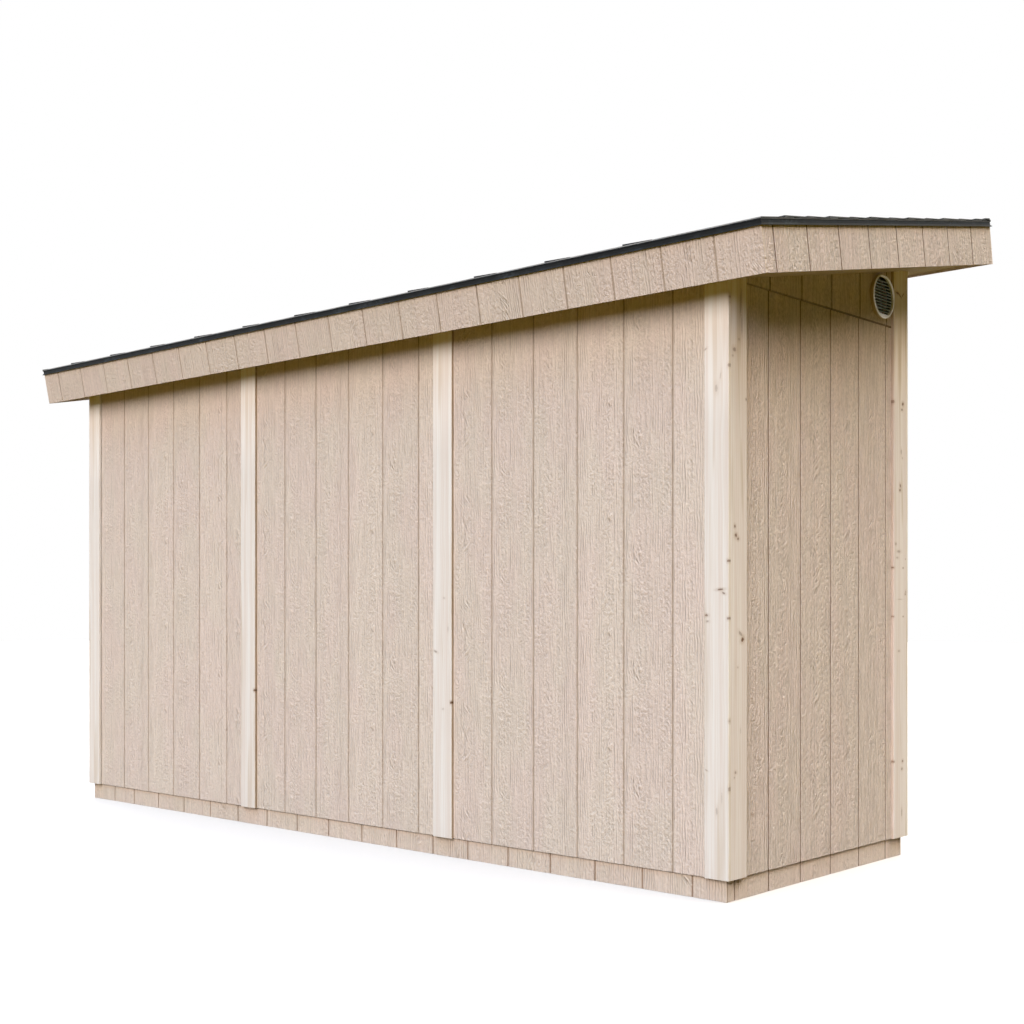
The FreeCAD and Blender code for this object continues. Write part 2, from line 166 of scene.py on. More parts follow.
class Graph:
    """Short calls for building a shader node tree."""

    def __init__(self, tree: bpy.types.NodeTree) -> None:
        """Keep the tree that the nodes go into."""
        self.tree = tree

    def node(self, kind: str, **settings: object) -> bpy.types.Node:
        """Add a node and set its properties.

        Args:
            kind: the node's type name.
            **settings: properties of the node.

        Returns:
            The new node.
        """
        made = self.tree.nodes.new(kind)
        for name, value in settings.items():
            setattr(made, name, value)
        return made

    def feed(self, socket: Socket, value: object) -> None:
        """Link a socket to an input, or set the input's value."""
        if isinstance(value, Socket):
            self.tree.links.new(value, socket)
        else:
            socket.default_value = value

    def math(self, operation: str, *values: object, clamp: bool = False) -> Socket:
        """Add a math node.

        Args:
            operation: the node's operation.
            *values: sockets or numbers for its inputs.
            clamp: whether the result is kept between 0 and 1.

        Returns:
            The result's socket.
        """
        made = self.node("ShaderNodeMath", operation=operation, use_clamp=clamp)
        for socket, value in zip(made.inputs, values):
            self.feed(socket, value)
        return made.outputs[0]

    def plus(self, first: object, second: object) -> Socket:
        """Add two values."""
        return self.math("ADD", first, second)

    def minus(self, first: object, second: object, clamp: bool = False) -> Socket:
        """Take the second value from the first."""
        return self.math("SUBTRACT", first, second, clamp=clamp)

    def times(self, first: object, second: object) -> Socket:
        """Multiply two values."""
        return self.math("MULTIPLY", first, second)

    def vector(self, operation: str, *values: object) -> Socket:
        """Add a vector math node.

        Args:
            operation: the node's operation.
            *values: sockets or triples for its inputs.

        Returns:
            The vector result, or the value for a dot product or a length.
        """
        made = self.node("ShaderNodeVectorMath", operation=operation)
        for socket, value in zip(made.inputs, values):
            self.feed(socket, value)
        return made.outputs["Value" if operation in ("DOT_PRODUCT", "LENGTH") else "Vector"]

    def combine(self, x: object, y: object, z: object) -> Socket:
        """Join three values into a vector."""
        made = self.node("ShaderNodeCombineXYZ")
        for socket, value in zip(made.inputs, (x, y, z)):
            self.feed(socket, value)
        return made.outputs[0]

    def separate(self, vector: object) -> tuple[Socket, ...]:
        """Split a vector into three values."""
        made = self.node("ShaderNodeSeparateXYZ")
        self.feed(made.inputs[0], vector)
        return tuple(made.outputs)

    def noise(self, vector: object, scale: float, detail: float = 2.0, roughness: float = 0.5) -> Socket:
        """Add a noise texture.

        Args:
            vector: the place to read.
            scale: features per unit.
            detail: number of finer octaves.
            roughness: strength of the finer octaves.

        Returns:
            The noise value, about 0.5 on average.
        """
        made = self.node("ShaderNodeTexNoise")
        self.feed(made.inputs["Vector"], vector)
        made.inputs["Scale"].default_value = scale
        made.inputs["Detail"].default_value = detail
        made.inputs["Roughness"].default_value = roughness
        return made.outputs["Fac"]

    def span(self, value: object, low: float, high: float, to_low: float = 0.0, to_high: float = 1.0) -> Socket:
        """Map a value smoothly from one range to another, and keep it there.

        Args:
            value: the socket to map.
            low: the value that maps to to_low.
            high: the value that maps to to_high.
            to_low: result at low.
            to_high: result at high.

        Returns:
            The mapped value.
        """
        made = self.node("ShaderNodeMapRange", interpolation_type="SMOOTHSTEP")
        for socket, entry in zip(made.inputs, (value, low, high, to_low, to_high)):
            self.feed(socket, entry)
        return made.outputs["Result"]

    def mix(self, factor: object, first: object, second: object, blend: str = "MIX") -> Socket:
        """Mix two colours.

        Args:
            factor: share of the second colour.
            first: first colour.
            second: second colour.
            blend: the way they are mixed.

        Returns:
            The mixed colour.
        """
        made = self.node("ShaderNodeMix", data_type="RGBA", blend_type=blend)
        self.feed(made.inputs["Factor"], factor)
        self.feed(made.inputs["A"], first)
        self.feed(made.inputs["B"], second)
        return made.outputs["Result"]

    def shade(self, colour: object, factor: object) -> Socket:
        """Multiply a colour by a value."""
        return self.vector("MULTIPLY", colour, self.combine(factor, factor, factor))

    def group(self, tree: bpy.types.NodeTree, **values: object) -> dict[str, Socket]:
        """Place a node group.

        Args:
            tree: the group's own tree.
            **values: its inputs by name, with _ for a space.

        Returns:
            Its outputs by name.
        """
        made = self.node("ShaderNodeGroup", node_tree=tree)
        for name, value in values.items():
            self.feed(made.inputs[name.replace("_", " ")], value)
        return {socket.name: socket for socket in made.outputs}


def rgba(colour: Triple) -> tuple[float, float, float, float]:
    """Add full opacity to a colour."""
    return (*colour, 1.0)


class Effects:
    """Shader node groups that several finishes share."""

    def __init__(self) -> None:
        """Build each group once."""
        self.board = self._board()
        self.groove = self._groove()
        self.figure = self._figure()
        self.grime = self._grime()
        self.knot = self._knot()

    @staticmethod
    def _tree(name: str, inputs: dict[str, str], outputs: dict[str, str]) -> tuple[Graph, dict, dict]:
        """Start a node group with typed sockets.

        Args:
            name: the group's name.
            inputs: socket type by input name.
            outputs: socket type by output name.

        Returns:
            The graph, the input sockets by name, and the output sockets by name.
        """
        tree = bpy.data.node_groups.new(name, "ShaderNodeTree")
        for label, kind in inputs.items():
            tree.interface.new_socket(name=label, in_out="INPUT", socket_type="NodeSocket" + kind)
        for label, kind in outputs.items():
            tree.interface.new_socket(name=label, in_out="OUTPUT", socket_type="NodeSocket" + kind)
        graph = Graph(tree)
        entry = graph.node("NodeGroupInput")
        leave = graph.node("NodeGroupOutput")
        sources = {socket.name: socket for socket in entry.outputs if socket.name}
        targets = {socket.name: socket for socket in leave.inputs if socket.name}
        return graph, sources, targets

    def _board(self) -> bpy.types.NodeTree:
        """Group that reads a place as distances across, along and into a boarded surface."""
        graph, source, target = self._tree(
            "board_place",
            {"Place": "Vector", "Across": "Vector", "Along": "Vector", "Outward": "Vector", "Start": "Float",
             "Plane": "Float", "Pitch": "Float"},
            {"Across": "Float", "Along": "Float", "Depth": "Float", "Inside": "Float", "Chance": "Float",
             "Groove": "Float"})
        across = graph.minus(graph.vector("DOT_PRODUCT", source["Place"], source["Across"]), source["Start"])
        along = graph.vector("DOT_PRODUCT", source["Place"], source["Along"])
        depth = graph.minus(source["Plane"], graph.vector("DOT_PRODUCT", source["Place"], source["Outward"]))
        board = graph.math("FLOOR", graph.math("DIVIDE", across, source["Pitch"]))
        inside = graph.minus(across, graph.times(board, source["Pitch"]))
        to_groove = graph.math("MINIMUM", inside, graph.minus(source["Pitch"], inside))
        key = graph.plus(graph.times(board, 7.31), graph.times(source["Plane"], 13.7))
        chance = graph.node("ShaderNodeTexWhiteNoise", noise_dimensions="1D")
        graph.feed(chance.inputs["W"], key)
        graph.feed(target["Across"], across)
        graph.feed(target["Along"], along)
        graph.feed(target["Depth"], depth)
        graph.feed(target["Inside"], inside)
        graph.feed(target["Chance"], chance.outputs["Value"])
        graph.feed(target["Groove"], graph.span(to_groove, 0.0035, 0.0065, 1.0, 0.0))
        return graph.tree

    def _groove(self) -> bpy.types.NodeTree:
        """Group that paints shade into the grooves between boards, darker with depth."""
        graph, source, target = self._tree(
            "groove_shade",
            {"Colour": "Color", "Groove Colour": "Color", "Depth": "Float", "Groove": "Float",
             "Full Depth": "Float"},
            {"Colour": "Color"})
        inside = graph.times(graph.span(source["Depth"], 0.0002, source["Full Depth"]), source["Groove"])
        graph.feed(target["Colour"], graph.mix(inside, source["Colour"], source["Groove Colour"]))
        return graph.tree

    def _figure(self) -> bpy.types.NodeTree:
        """Group for wood figure: growth lines about one axis, feathered strokes on it, streaks and stipple.

        The figure repeats along the grain after one Period, as a pressed sheet's does.
        """
        graph, source, target = self._tree(
            "wood_figure",
            {"Inside": "Float", "Along": "Float", "Chance": "Float", "Width": "Float", "Period": "Float",
             "Line Width": "Float", "Wander": "Float"},
            {"Lines": "Float", "Streaks": "Float", "Stipple": "Float", "Feather": "Float", "Patch": "Float"})
        layer = graph.times(source["Chance"], 91.0)
        turns = graph.plus(graph.math("DIVIDE", source["Along"], source["Period"]), graph.times(layer, 3.7))
        angle = graph.times(turns, math.tau)
        radius = graph.math("DIVIDE", source["Period"], math.tau)
        east = graph.times(graph.math("COSINE", angle), radius)
        north = graph.times(graph.math("SINE", angle), radius)

        def spot(across_scale: float, along_scale: float, shift: float) -> Socket:
            """Place on the figure's roll, scaled across and along the grain."""
            return graph.combine(
                graph.math("MULTIPLY_ADD", source["Inside"], across_scale, layer),
                graph.math("MULTIPLY_ADD", east, along_scale, shift),
                graph.times(north, along_scale))

        wave = graph.minus(graph.noise(spot(16.0, 9.0, 3.1), 1.0, 2.0), 0.5)
        ripple = graph.minus(graph.noise(spot(60.0, 22.0, 5.7), 1.0, 1.0), 0.5)
        knurl = graph.span(graph.noise(spot(6.0, 12.0, 6.1), 1.0, 1.0), 0.50, 0.62)
        middle = graph.times(source["Width"], graph.math("MULTIPLY_ADD", source["Chance"], 0.56, 0.22))
        offset = graph.plus(graph.minus(source["Inside"], middle), graph.times(wave, source["Wander"]))
        offset = graph.plus(offset, graph.times(ripple, 0.007))
        reach = graph.math("SQRT", graph.math("MULTIPLY_ADD", offset, offset, 0.00002))
        lines = graph.math("SINE", graph.times(graph.math("DIVIDE", reach, source["Line Width"]), math.tau))
        axis = graph.times(graph.span(graph.math("ABSOLUTE", offset), 0.006, 0.036, 1.0, 0.0), knurl)
        slant = graph.combine(
            graph.plus(graph.math("MULTIPLY_ADD", source["Inside"], 150.0, layer), graph.times(north, 110.0)),
            graph.times(east, 40.0), graph.times(north, 40.0))
        strokes = graph.minus(graph.noise(slant, 1.0, 1.0), 0.5)
        graph.feed(target["Lines"], lines)
        graph.feed(target["Streaks"], graph.noise(spot(150.0, 7.0, 1.3), 1.0, 2.0, 0.6))
        graph.feed(target["Stipple"], graph.noise(spot(135.0, 80.0, 2.9), 1.0, 2.0, 0.6))
        graph.feed(target["Feather"], graph.times(strokes, axis))
        graph.feed(target["Patch"], graph.noise(spot(17.0, 2.8, 8.3), 1.0, 2.0))
        return graph.tree

    def _grime(self) -> bpy.types.NodeTree:
        """Group for dust and rain splash that gathers near the ground, in loose patches."""
        graph, source, target = self._tree(
            "low_grime", {"Colour": "Color", "Place": "Vector", "Reach": "Float", "Strength": "Float"},
            {"Colour": "Color"})
        height = graph.separate(source["Place"])[2]
        ragged = graph.times(graph.noise(source["Place"], 9.0, 3.0), 0.08)
        level = graph.minus(height, ragged)
        low = graph.minus(1.0, graph.math("DIVIDE", level, source["Reach"]), clamp=True)
        amount = graph.times(low, source["Strength"])
        graph.feed(target["Colour"], graph.mix(amount, source["Colour"], SPLASH))
        return graph.tree

    def _knot(self) -> bpy.types.NodeTree:
        """Group for one knot: a dark heart in a soft ring, drawn out and tilted."""
        graph, source, target = self._tree(
            "knot", {"Colour": "Color", "Across": "Float", "Along": "Float", "Place": "Vector", "Size": "Vector",
                     "Tilt": "Float", "Wobble": "Float", "Knot Colour": "Color"},
            {"Colour": "Color"})
        away = graph.vector("SUBTRACT", graph.combine(source["Across"], source["Along"], 0.0), source["Place"])
        size = graph.separate(source["Size"])
        turned = graph.node("ShaderNodeVectorRotate", rotation_type="Z_AXIS")
        graph.feed(turned.inputs["Vector"], away)
        graph.feed(turned.inputs["Angle"], source["Tilt"])
        shape = graph.vector("DIVIDE", turned.outputs["Vector"], graph.combine(size[0], size[1], 1.0))
        distance = graph.plus(graph.vector("LENGTH", shape), source["Wobble"])
        heart = graph.span(distance, 0.6, 1.35, 1.0, 0.0)
        ring = graph.times(graph.span(distance, 1.1, 3.2, 0.34, 0.0), size[2])
        ringed = graph.mix(ring, source["Colour"], AMBER)
        amount = graph.times(heart, size[2])
        graph.feed(target["Colour"], graph.mix(amount, ringed, source["Knot Colour"]))
        return graph.tree


class Finish:
    """A material with one Principled shader, ready for colour and bump."""

    def __init__(self, name: str, roughness: float, specular: float) -> None:
        """Make the material and its output.

        Args:
            name: the material's name.
            roughness: plain roughness.
            specular: plain specular level.
        """
        self.material = bpy.data.materials.new(name)
        self.material.use_nodes = True
        self.graph = Graph(self.material.node_tree)
        self.shader = self.material.node_tree.nodes["Principled BSDF"]
        self.shader.inputs["Roughness"].default_value = roughness
        self.shader.inputs["Specular IOR Level"].default_value = specular
        self.place = self.graph.node("ShaderNodeTexCoord").outputs["Object"]

    def colour(self, value: Socket) -> None:
        """Feed the base colour."""
        self.graph.feed(self.shader.inputs["Base Color"], value)

    def bump(self, height: Socket, distance: float) -> None:
        """Feed the normal from a height.

        Args:
            height: height between 0 and 1.
            distance: height in metres that 1 stands for.
        """
        made = self.graph.node("ShaderNodeBump")
        made.inputs["Distance"].default_value = distance
        self.graph.feed(made.inputs["Height"], height)
        self.graph.feed(self.shader.inputs["Normal"], made.outputs["Normal"])


@dataclass(frozen=True)
class Knot:
    """One knot on a board: its place across and along, its half sizes, tilt and strength."""

    across: float
    along: float
    wide: float
    tall: float
    tilt: float
    strength: float


def knot_rows(*rows: tuple[float, ...]) -> tuple[Knot, ...]:
    """Make knots from rows of place across and along, half sizes, tilt and strength."""
    return tuple(Knot(*row) for row in rows)


def with_knots(graph: Graph, effects: Effects, board: dict, colour: Socket, knots: tuple[Knot, ...],
               dark: Triple) -> Socket:
    """Lay knots over a board's colour.

    Args:
        graph: the material's graph.
        effects: shared node groups.
        board: outputs of the board's place group.
        colour: the colour without knots.
        knots: the knots.
        dark: colour of a knot's heart.

    Returns:
        The colour with knots.
    """
    if not knots:
        return colour
    place = graph.combine(board["Across"], board["Along"], 0.0)
    wobble = graph.times(graph.minus(graph.noise(place, 190.0, 2.0), 0.5), 1.1)
    for knot in knots:
        colour = graph.group(effects.knot, Colour=colour, Across=board["Across"], Along=board["Along"],
                             Place=(knot.across, knot.along, 0.0), Size=(knot.wide, knot.tall, knot.strength),
                             Tilt=knot.tilt, Wobble=wobble, Knot_Colour=rgba(dark))["Colour"]
    return colour


@dataclass(frozen=True)
class PressedSiding:
    """Primed siding sheet with an embossed wood figure."""

    colour: Triple = (0.722, 0.629, 0.537)
    rosy: Triple = (0.731, 0.618, 0.539)
    # Colour of the painted shade in the grooves; the seam between gable sheets is drawn in it too.
    groove_shade_colour: Triple = (0.45, 0.368, 0.292)
    cut_colour: Triple = (0.705, 0.618, 0.572)
    groove_full: float = 0.0024
    mark_colour: Triple = (0.27, 0.17, 0.11)
    in_step: bool = True
    # Colour factors in the emboss's valleys and on its ridges: painted shade and painted highlight.
    painted_valley_shade: float = 0.84
    painted_ridge_light: float = 1.07
    emboss: float = 0.0021
    line_width: float = 0.0102
    wander: float = 0.022
    roll: float = 0.392
    plain_lines: float = 0.05
    bold_lines: float = 0.40
    feather: float = 4.2
    streaks: float = 2.3
    plain_stipple: float = 2.9
    bold_stipple: float = 1.3
    seam_core: float = 0.0024
    seam_edge: float = 0.0046

    def build(self, effects: Effects, name: str, lay: Lay, start: float, plane: float,
              marks: tuple[Knot, ...] = (), seam: float | None = None) -> bpy.types.Material:
        """Make the finish for the boards of one plane.

        Args:
            effects: shared node groups.
            name: the material's name.
            lay: how the boards lie.
            start: place of one groove's middle across the boards.
            plane: distance of the boards' faces along the outward vector.
            marks: dark marks on the boards.
            seam: height of the dark seam between two sheets, if there is one.

        Returns:
            The material.
        """
        finish = Finish(name, roughness=0.75, specular=0.08)
        graph = finish.graph
        board = graph.group(effects.board, Place=finish.place, Across=lay.across, Along=lay.along,
                            Outward=lay.outward, Start=start, Plane=plane, Pitch=GROOVE_PITCH)
        figure = graph.group(effects.figure, Inside=board["Inside"], Along=board["Along"], Chance=board["Chance"],
                             Width=GROOVE_PITCH, Period=self.roll, Line_Width=self.line_width, Wander=self.wander)
        height = self._relief(graph, figure)
        finish.bump(height, self.emboss)
        drift_place = graph.combine(graph.times(board["Across"], 6.5),
                                    graph.times(board["Along"], 2.6), start)
        drift = graph.noise(drift_place, 1.0, 3.0)
        colour = graph.mix(graph.span(drift, 0.36, 0.64), rgba(self.rosy), rgba(self.colour))
        # Painted shade in the emboss's valleys and painted highlight on its ridges.
        colour = graph.shade(colour, graph.span(height, -0.85, 0.85, self.painted_valley_shade, self.painted_ridge_light))
        colour = graph.shade(colour, graph.math("MULTIPLY_ADD", board["Chance"], 0.045, 0.975))
        colour = with_knots(graph, effects, board, colour, marks, self.mark_colour)
        # Painted shade in the grooves, darker with depth.
        colour = graph.group(effects.groove, Colour=colour, Groove_Colour=rgba(self.groove_shade_colour),
                             Depth=board["Depth"], Groove=board["Groove"] if self.in_step else 1.0,
                             Full_Depth=self.groove_full)["Colour"]
        cut_edge = graph.span(board["Depth"], 0.0040, 0.0060)
        colour = graph.mix(cut_edge, colour, rgba(self.cut_colour))
        if seam is not None:
            colour = self._with_seam(graph, finish.place, colour, seam)
        colour = graph.group(effects.grime, Colour=colour, Place=finish.place, Reach=0.10, Strength=0.03)["Colour"]
        finish.colour(colour)
        return finish.material

    def _with_seam(self, graph: Graph, place: Socket, colour: Socket, seam: float) -> Socket:
        """Darken the seam between two sheets, more so towards the high side.

        Args:
            graph: the material's graph.
            place: the place on the sheet.
            colour: the colour without the seam.
            seam: height of the seam.

        Returns:
            The colour with the seam.
        """
        _, y, z = graph.separate(place)
        away = graph.math("ABSOLUTE", graph.minus(z, seam))
        near = graph.span(away, self.seam_core, self.seam_edge, 1.0, 0.0)
        near = graph.times(near, graph.span(y, -0.45, 0.25, 0.25, 0.85))
        return graph.mix(near, colour, rgba(self.groove_shade_colour))

    def _relief(self, graph: Graph, figure: dict) -> Socket:
        """Height of the embossed figure, from about -1 to 1.

        Args:
            graph: the material's graph.
            figure: outputs of the wood figure group.

        Returns:
            The height.
        """
        share = graph.span(figure["Patch"], 0.49, 0.60, self.plain_lines, self.bold_lines)
        lines = graph.math("MULTIPLY_ADD", figure["Lines"], share, graph.times(figure["Feather"], self.feather))
        streaks = graph.times(graph.minus(figure["Streaks"], 0.5), self.streaks)
        stipple_share = graph.span(figure["Patch"], 0.38, 0.60, self.plain_stipple, self.bold_stipple)
        stipple = graph.times(graph.minus(figure["Stipple"], 0.5), stipple_share)
        return graph.plus(graph.plus(lines, streaks), stipple)


@dataclass(frozen=True)
class PlanedPine:
    """Bare planed pine with faint grain and a few knots."""

    colour: Triple = (0.795, 0.754, 0.700)
    grain: Triple = (0.600, 0.500, 0.385)
    blush: Triple = (0.722, 0.636, 0.562)
    cream: Triple = (0.842, 0.826, 0.784)
    line_share: float = 0.16
    line_width: float = 0.011
    wander: float = 0.03
    stain_share: float = 0.55
    painted_top_shade: float = 0.0
    # Colour that the board's side faces are multiplied by: painted shade on the sides.
    side: Triple = (1.0, 1.0, 1.0)
    top_light: float = 1.10
    top_from: float = 1.50
    top_to: float = 1.70
    knot_colour: Triple = (0.135, 0.062, 0.026)
    emboss: float = 0.0003

    def build(self, effects: Effects, name: str, lay: Lay, start: float, plane: float,
              knots: tuple[Knot, ...] = ()) -> bpy.types.Material:
        """Make the finish for one board.

        Args:
            effects: shared node groups.
            name: the material's name.
            lay: how the board lies.
            start: place of the board's edge across.
            plane: distance of the board's face along the outward vector.
            knots: the board's knots.

        Returns:
            The material.
        """
        finish = Finish(name, roughness=0.6, specular=0.10)
        graph = finish.graph
        board = graph.group(effects.board, Place=finish.place, Across=lay.across, Along=lay.along,
                            Outward=lay.outward, Start=start, Plane=plane, Pitch=0.6)
        figure = graph.group(effects.figure, Inside=board["Inside"], Along=graph.times(board["Along"], 0.35),
                             Chance=board["Chance"], Width=0.09, Period=9.0, Line_Width=self.line_width,
                             Wander=self.wander)
        lines = graph.span(figure["Lines"], -0.3, 1.0, 0.0, self.line_share)
        streaks = graph.span(figure["Streaks"], 0.40, 0.70, 0.0, 0.50)
        colour = graph.mix(lines, rgba(self.colour), rgba(self.grain))
        colour = graph.mix(streaks, colour, rgba(self.blush))
        band_place = graph.combine(graph.times(board["Across"], 78.0),
                                   graph.times(board["Along"], 0.8), start)
        band = graph.noise(band_place, 1.0, 2.0)
        colour = graph.mix(graph.span(band, 0.50, 0.68, 0.0, 0.60), colour, rgba(self.blush))
        colour = graph.mix(graph.span(band, 0.34, 0.47, 0.55, 0.0), colour, rgba(self.cream))
        stain_place = graph.combine(graph.times(board["Across"], 34.0),
                                    graph.times(board["Along"], 1.7), plane)
        # Grain-coloured patches grow towards the top of the board: painted shade under the eave.
        high = graph.span(board["Along"], 1.50, 1.95, 0.0, self.painted_top_shade)
        cloud = graph.plus(graph.noise(stain_place, 1.0, 2.0), high)
        colour = graph.mix(graph.span(cloud, 0.53, 0.76, 0.0, self.stain_share), colour, rgba(self.grain))
        colour = with_knots(graph, effects, board, colour, knots, self.knot_colour)
        # Painted shade on the board's side faces.
        painted_side_shade_mask = graph.span(board["Depth"], 0.001, 0.003)
        colour = graph.mix(painted_side_shade_mask, colour, graph.mix(1.0, colour, rgba(self.side), "MULTIPLY"))
        # Lighter towards the top of the board: painted light in the eave's shade.
        colour = graph.shade(colour, graph.span(board["Along"], self.top_from, self.top_to, 1.0, self.top_light))
        colour = graph.group(effects.grime, Colour=colour, Place=finish.place, Reach=0.12, Strength=0.05)["Colour"]
        finish.colour(colour)
        finish.bump(graph.math("MULTIPLY_ADD", figure["Lines"], 0.2, figure["Streaks"]), self.emboss)
        return finish.material


@dataclass(frozen=True)
class SawnTimber:
    """Rough sawn softwood of the frames."""

    colour: Triple = (0.60, 0.43, 0.26)
    grain: Triple = (0.42, 0.26, 0.14)

    def build(self, effects: Effects, name: str) -> bpy.types.Material:
        """Make the finish.

        Args:
            effects: shared node groups.
            name: the material's name.

        Returns:
            The material.
        """
        finish = Finish(name, roughness=0.85, specular=0.2)
        graph = finish.graph
        x, y, z = graph.separate(finish.place)
        figure = graph.group(effects.figure, Inside=graph.plus(x, y), Along=z, Chance=0.37, Width=0.09,
                             Period=5.0, Line_Width=0.009, Wander=0.05)
        colour = graph.mix(graph.span(figure["Lines"], -0.4, 1.0, 0.0, 0.6), rgba(self.colour), rgba(self.grain))
        finish.colour(graph.shade(colour, graph.span(figure["Streaks"], 0.3, 0.7, 0.85, 1.08)))
        finish.bump(figure["Stipple"], 0.0006)
        return finish.material


@dataclass(frozen=True)
class StrandBoard:
    """Sheet of pressed wood strands."""

    colour: Triple = (0.56, 0.40, 0.22)
    dark: Triple = (0.36, 0.23, 0.11)
    flake_scale: float = 22.0

    def build(self, name: str) -> bpy.types.Material:
        """Make the finish.

        Args:
            name: the material's name.

        Returns:
            The material.
        """
        finish = Finish(name, roughness=0.8, specular=0.25)
        graph = finish.graph
        flakes = graph.node("ShaderNodeTexVoronoi", feature="F1")
        graph.feed(flakes.inputs["Vector"], graph.vector("MULTIPLY", finish.place, (1.0, 2.6, 2.0)))
        flakes.inputs["Scale"].default_value = self.flake_scale
        tone = graph.separate(flakes.outputs["Color"])[0]
        finish.colour(graph.mix(tone, rgba(self.colour), rgba(self.dark)))
        finish.bump(flakes.outputs["Distance"], 0.0005)
        return finish.material


@dataclass(frozen=True)
class MineralShingle:
    """Bitumen shingle covered with mineral granules."""

    colour: Triple = (0.026, 0.029, 0.033)
    dark: Triple = (0.012, 0.0135, 0.016)
    grey: Triple = (0.085, 0.092, 0.100)
    # Colour of the painted highlight where the eave's edge and the rake catch the sky.
    edge: Triple = (0.46, 0.485, 0.50)
    grain_scale: float = 620.0
    blotch_scale: float = 34.0

    def build(self, name: str) -> bpy.types.Material:
        """Make the finish: a tone for each shingle, and a painted highlight along the edges where the
        painted_highlight attribute is set.

        Args:
            name: the material's name.

        Returns:
            The material.
        """
        finish = Finish(name, roughness=0.9, specular=0.10)
        graph = finish.graph
        tone = graph.node("ShaderNodeAttribute", attribute_name="tone").outputs["Fac"]
        painted_highlight = graph.node("ShaderNodeAttribute", attribute_name="painted_highlight").outputs["Fac"]
        grains = graph.noise(finish.place, self.grain_scale, 2.0, 0.7)
        blotch = graph.noise(finish.place, self.blotch_scale, 3.0)
        colour = graph.mix(graph.span(blotch, 0.35, 0.65), rgba(self.dark), rgba(self.colour))
        colour = graph.mix(graph.span(grains, 0.56, 0.72, 0.0, 0.8), colour, rgba(self.grey))
        colour = graph.shade(colour, graph.math("MULTIPLY_ADD", tone, 0.7, 0.65))
        patchy = graph.span(graph.noise(finish.place, 9.0, 2.0), 0.3, 0.6, 0.7, 1.0)
        # Painted highlight along the edges, in patches.
        finish.colour(graph.mix(graph.times(painted_highlight, patchy), colour, rgba(self.edge)))
        finish.bump(grains, 0.0009)
        return finish.material


@dataclass(frozen=True)
class PaintedMetal:
    """Factory-painted sheet metal of the drip edges."""

    colour: Triple = (0.0135, 0.0155, 0.0170)
    # Colour of dust, and of painted bluish glints.
    dust: Triple = (0.085, 0.105, 0.122)
    cloud_scale: float = 11.0
    film_scale: float = 90.0

    def build(self, name: str) -> bpy.types.Material:
        """Make the finish.

        Args:
            name: the material's name.

        Returns:
            The material.
        """
        finish = Finish(name, roughness=0.5, specular=0.10)
        graph = finish.graph
        cloud = graph.noise(finish.place, self.cloud_scale, 3.0)
        film = graph.noise(finish.place, self.film_scale, 2.0)
        # Bluish patches: dust, and painted glints.
        amount = graph.times(graph.span(cloud, 0.45, 0.7), graph.span(film, 0.4, 0.7, 0.10, 0.40))
        finish.colour(graph.mix(amount, rgba(self.colour), rgba(self.dust)))
        graph.feed(finish.shader.inputs["Roughness"], graph.span(cloud, 0.3, 0.7, 0.42, 0.58))
        finish.bump(cloud, 0.0006)
        return finish.material


@dataclass(frozen=True)
class MouldedPlastic:
    """Off-white moulded plastic of the vents, with painted shade that grows the deeper it lies behind the rim."""

    colour: Triple = (0.94, 0.93, 0.90)
    dirt: Triple = (0.55, 0.52, 0.44)
    painted_blade_shade: Triple = (0.290, 0.320, 0.200)
    painted_gap_shade: Triple = (0.018, 0.021, 0.011)
    painted_side_wall_shade: Triple = (0.50, 0.41, 0.27)
    lip: float = 0.0032
    blade_front: float = 0.0050
    blade_middle: float = 0.0088
    blade_back: float = 0.0130

    def build(self, name: str, low: Vector, high: Vector) -> bpy.types.Material:
        """Make the finish for both vents.

        Args:
            name: the material's name.
            low: lowest corner of the right-hand vent.
            high: highest corner of the right-hand vent.

        Returns:
            The material.
        """
        finish = Finish(name, roughness=0.42, specular=0.25)
        graph = finish.graph
        x, y, z = graph.separate(finish.place)
        behind = graph.minus(high.x, graph.math("ABSOLUTE", x))
        middle = (low + high) / 2
        from_middle = graph.vector("LENGTH", graph.combine(
            0.0, graph.minus(y, middle.y), graph.minus(z, middle.z)))
        radius = (high.z - low.z) / 2
        # Painted shade on the blades behind the rim and darker painted shade in the gaps between them; the blade
        # ends near the rim get less of it, a painted highlight where they catch the light.
        shade = graph.span(behind, self.lip, self.blade_front)
        painted_gap_shade = graph.span(behind, self.blade_middle, self.blade_back)
        painted_shade_share = graph.span(from_middle, radius * 0.80, radius * 0.90, 1.0, 0.45)
        cloud = graph.noise(finish.place, 40.0, 3.0)
        colour = graph.mix(graph.span(cloud, 0.5, 0.8, 0.0, 0.25), rgba(self.colour), rgba(self.dirt))
        colour = graph.mix(graph.times(shade, painted_shade_share), colour, rgba(self.painted_blade_shade))
        colour = graph.mix(painted_gap_shade, colour, rgba(self.painted_gap_shade))
        # The rim's outer side wall gets a dull brown: painted shade where the vent meets the wall.
        outer_wall = graph.times(graph.span(from_middle, radius - 0.0012, radius - 0.0005),
                                 graph.span(behind, 0.0005, 0.0012))
        finish.colour(graph.mix(outer_wall, colour, rgba(self.painted_side_wall_shade)))
        gloss = graph.minus(1.0, graph.math("MAXIMUM", shade, outer_wall), clamp=True)
        graph.feed(finish.shader.inputs["Coat Weight"], gloss)
        finish.shader.inputs["Coat Roughness"].default_value = 0.15
        finish.bump(graph.noise(finish.place, 900.0, 1.0), 0.0001)
        return finish.material


def deselect() -> None:
    """Leave no object selected."""
    bpy.ops.object.select_all(action="DESELECT")


def dress(node: bpy.types.Object, material: bpy.types.Material) -> None:
    """Give an object one material."""
    node.data.materials.clear()
    node.data.materials.append(material)


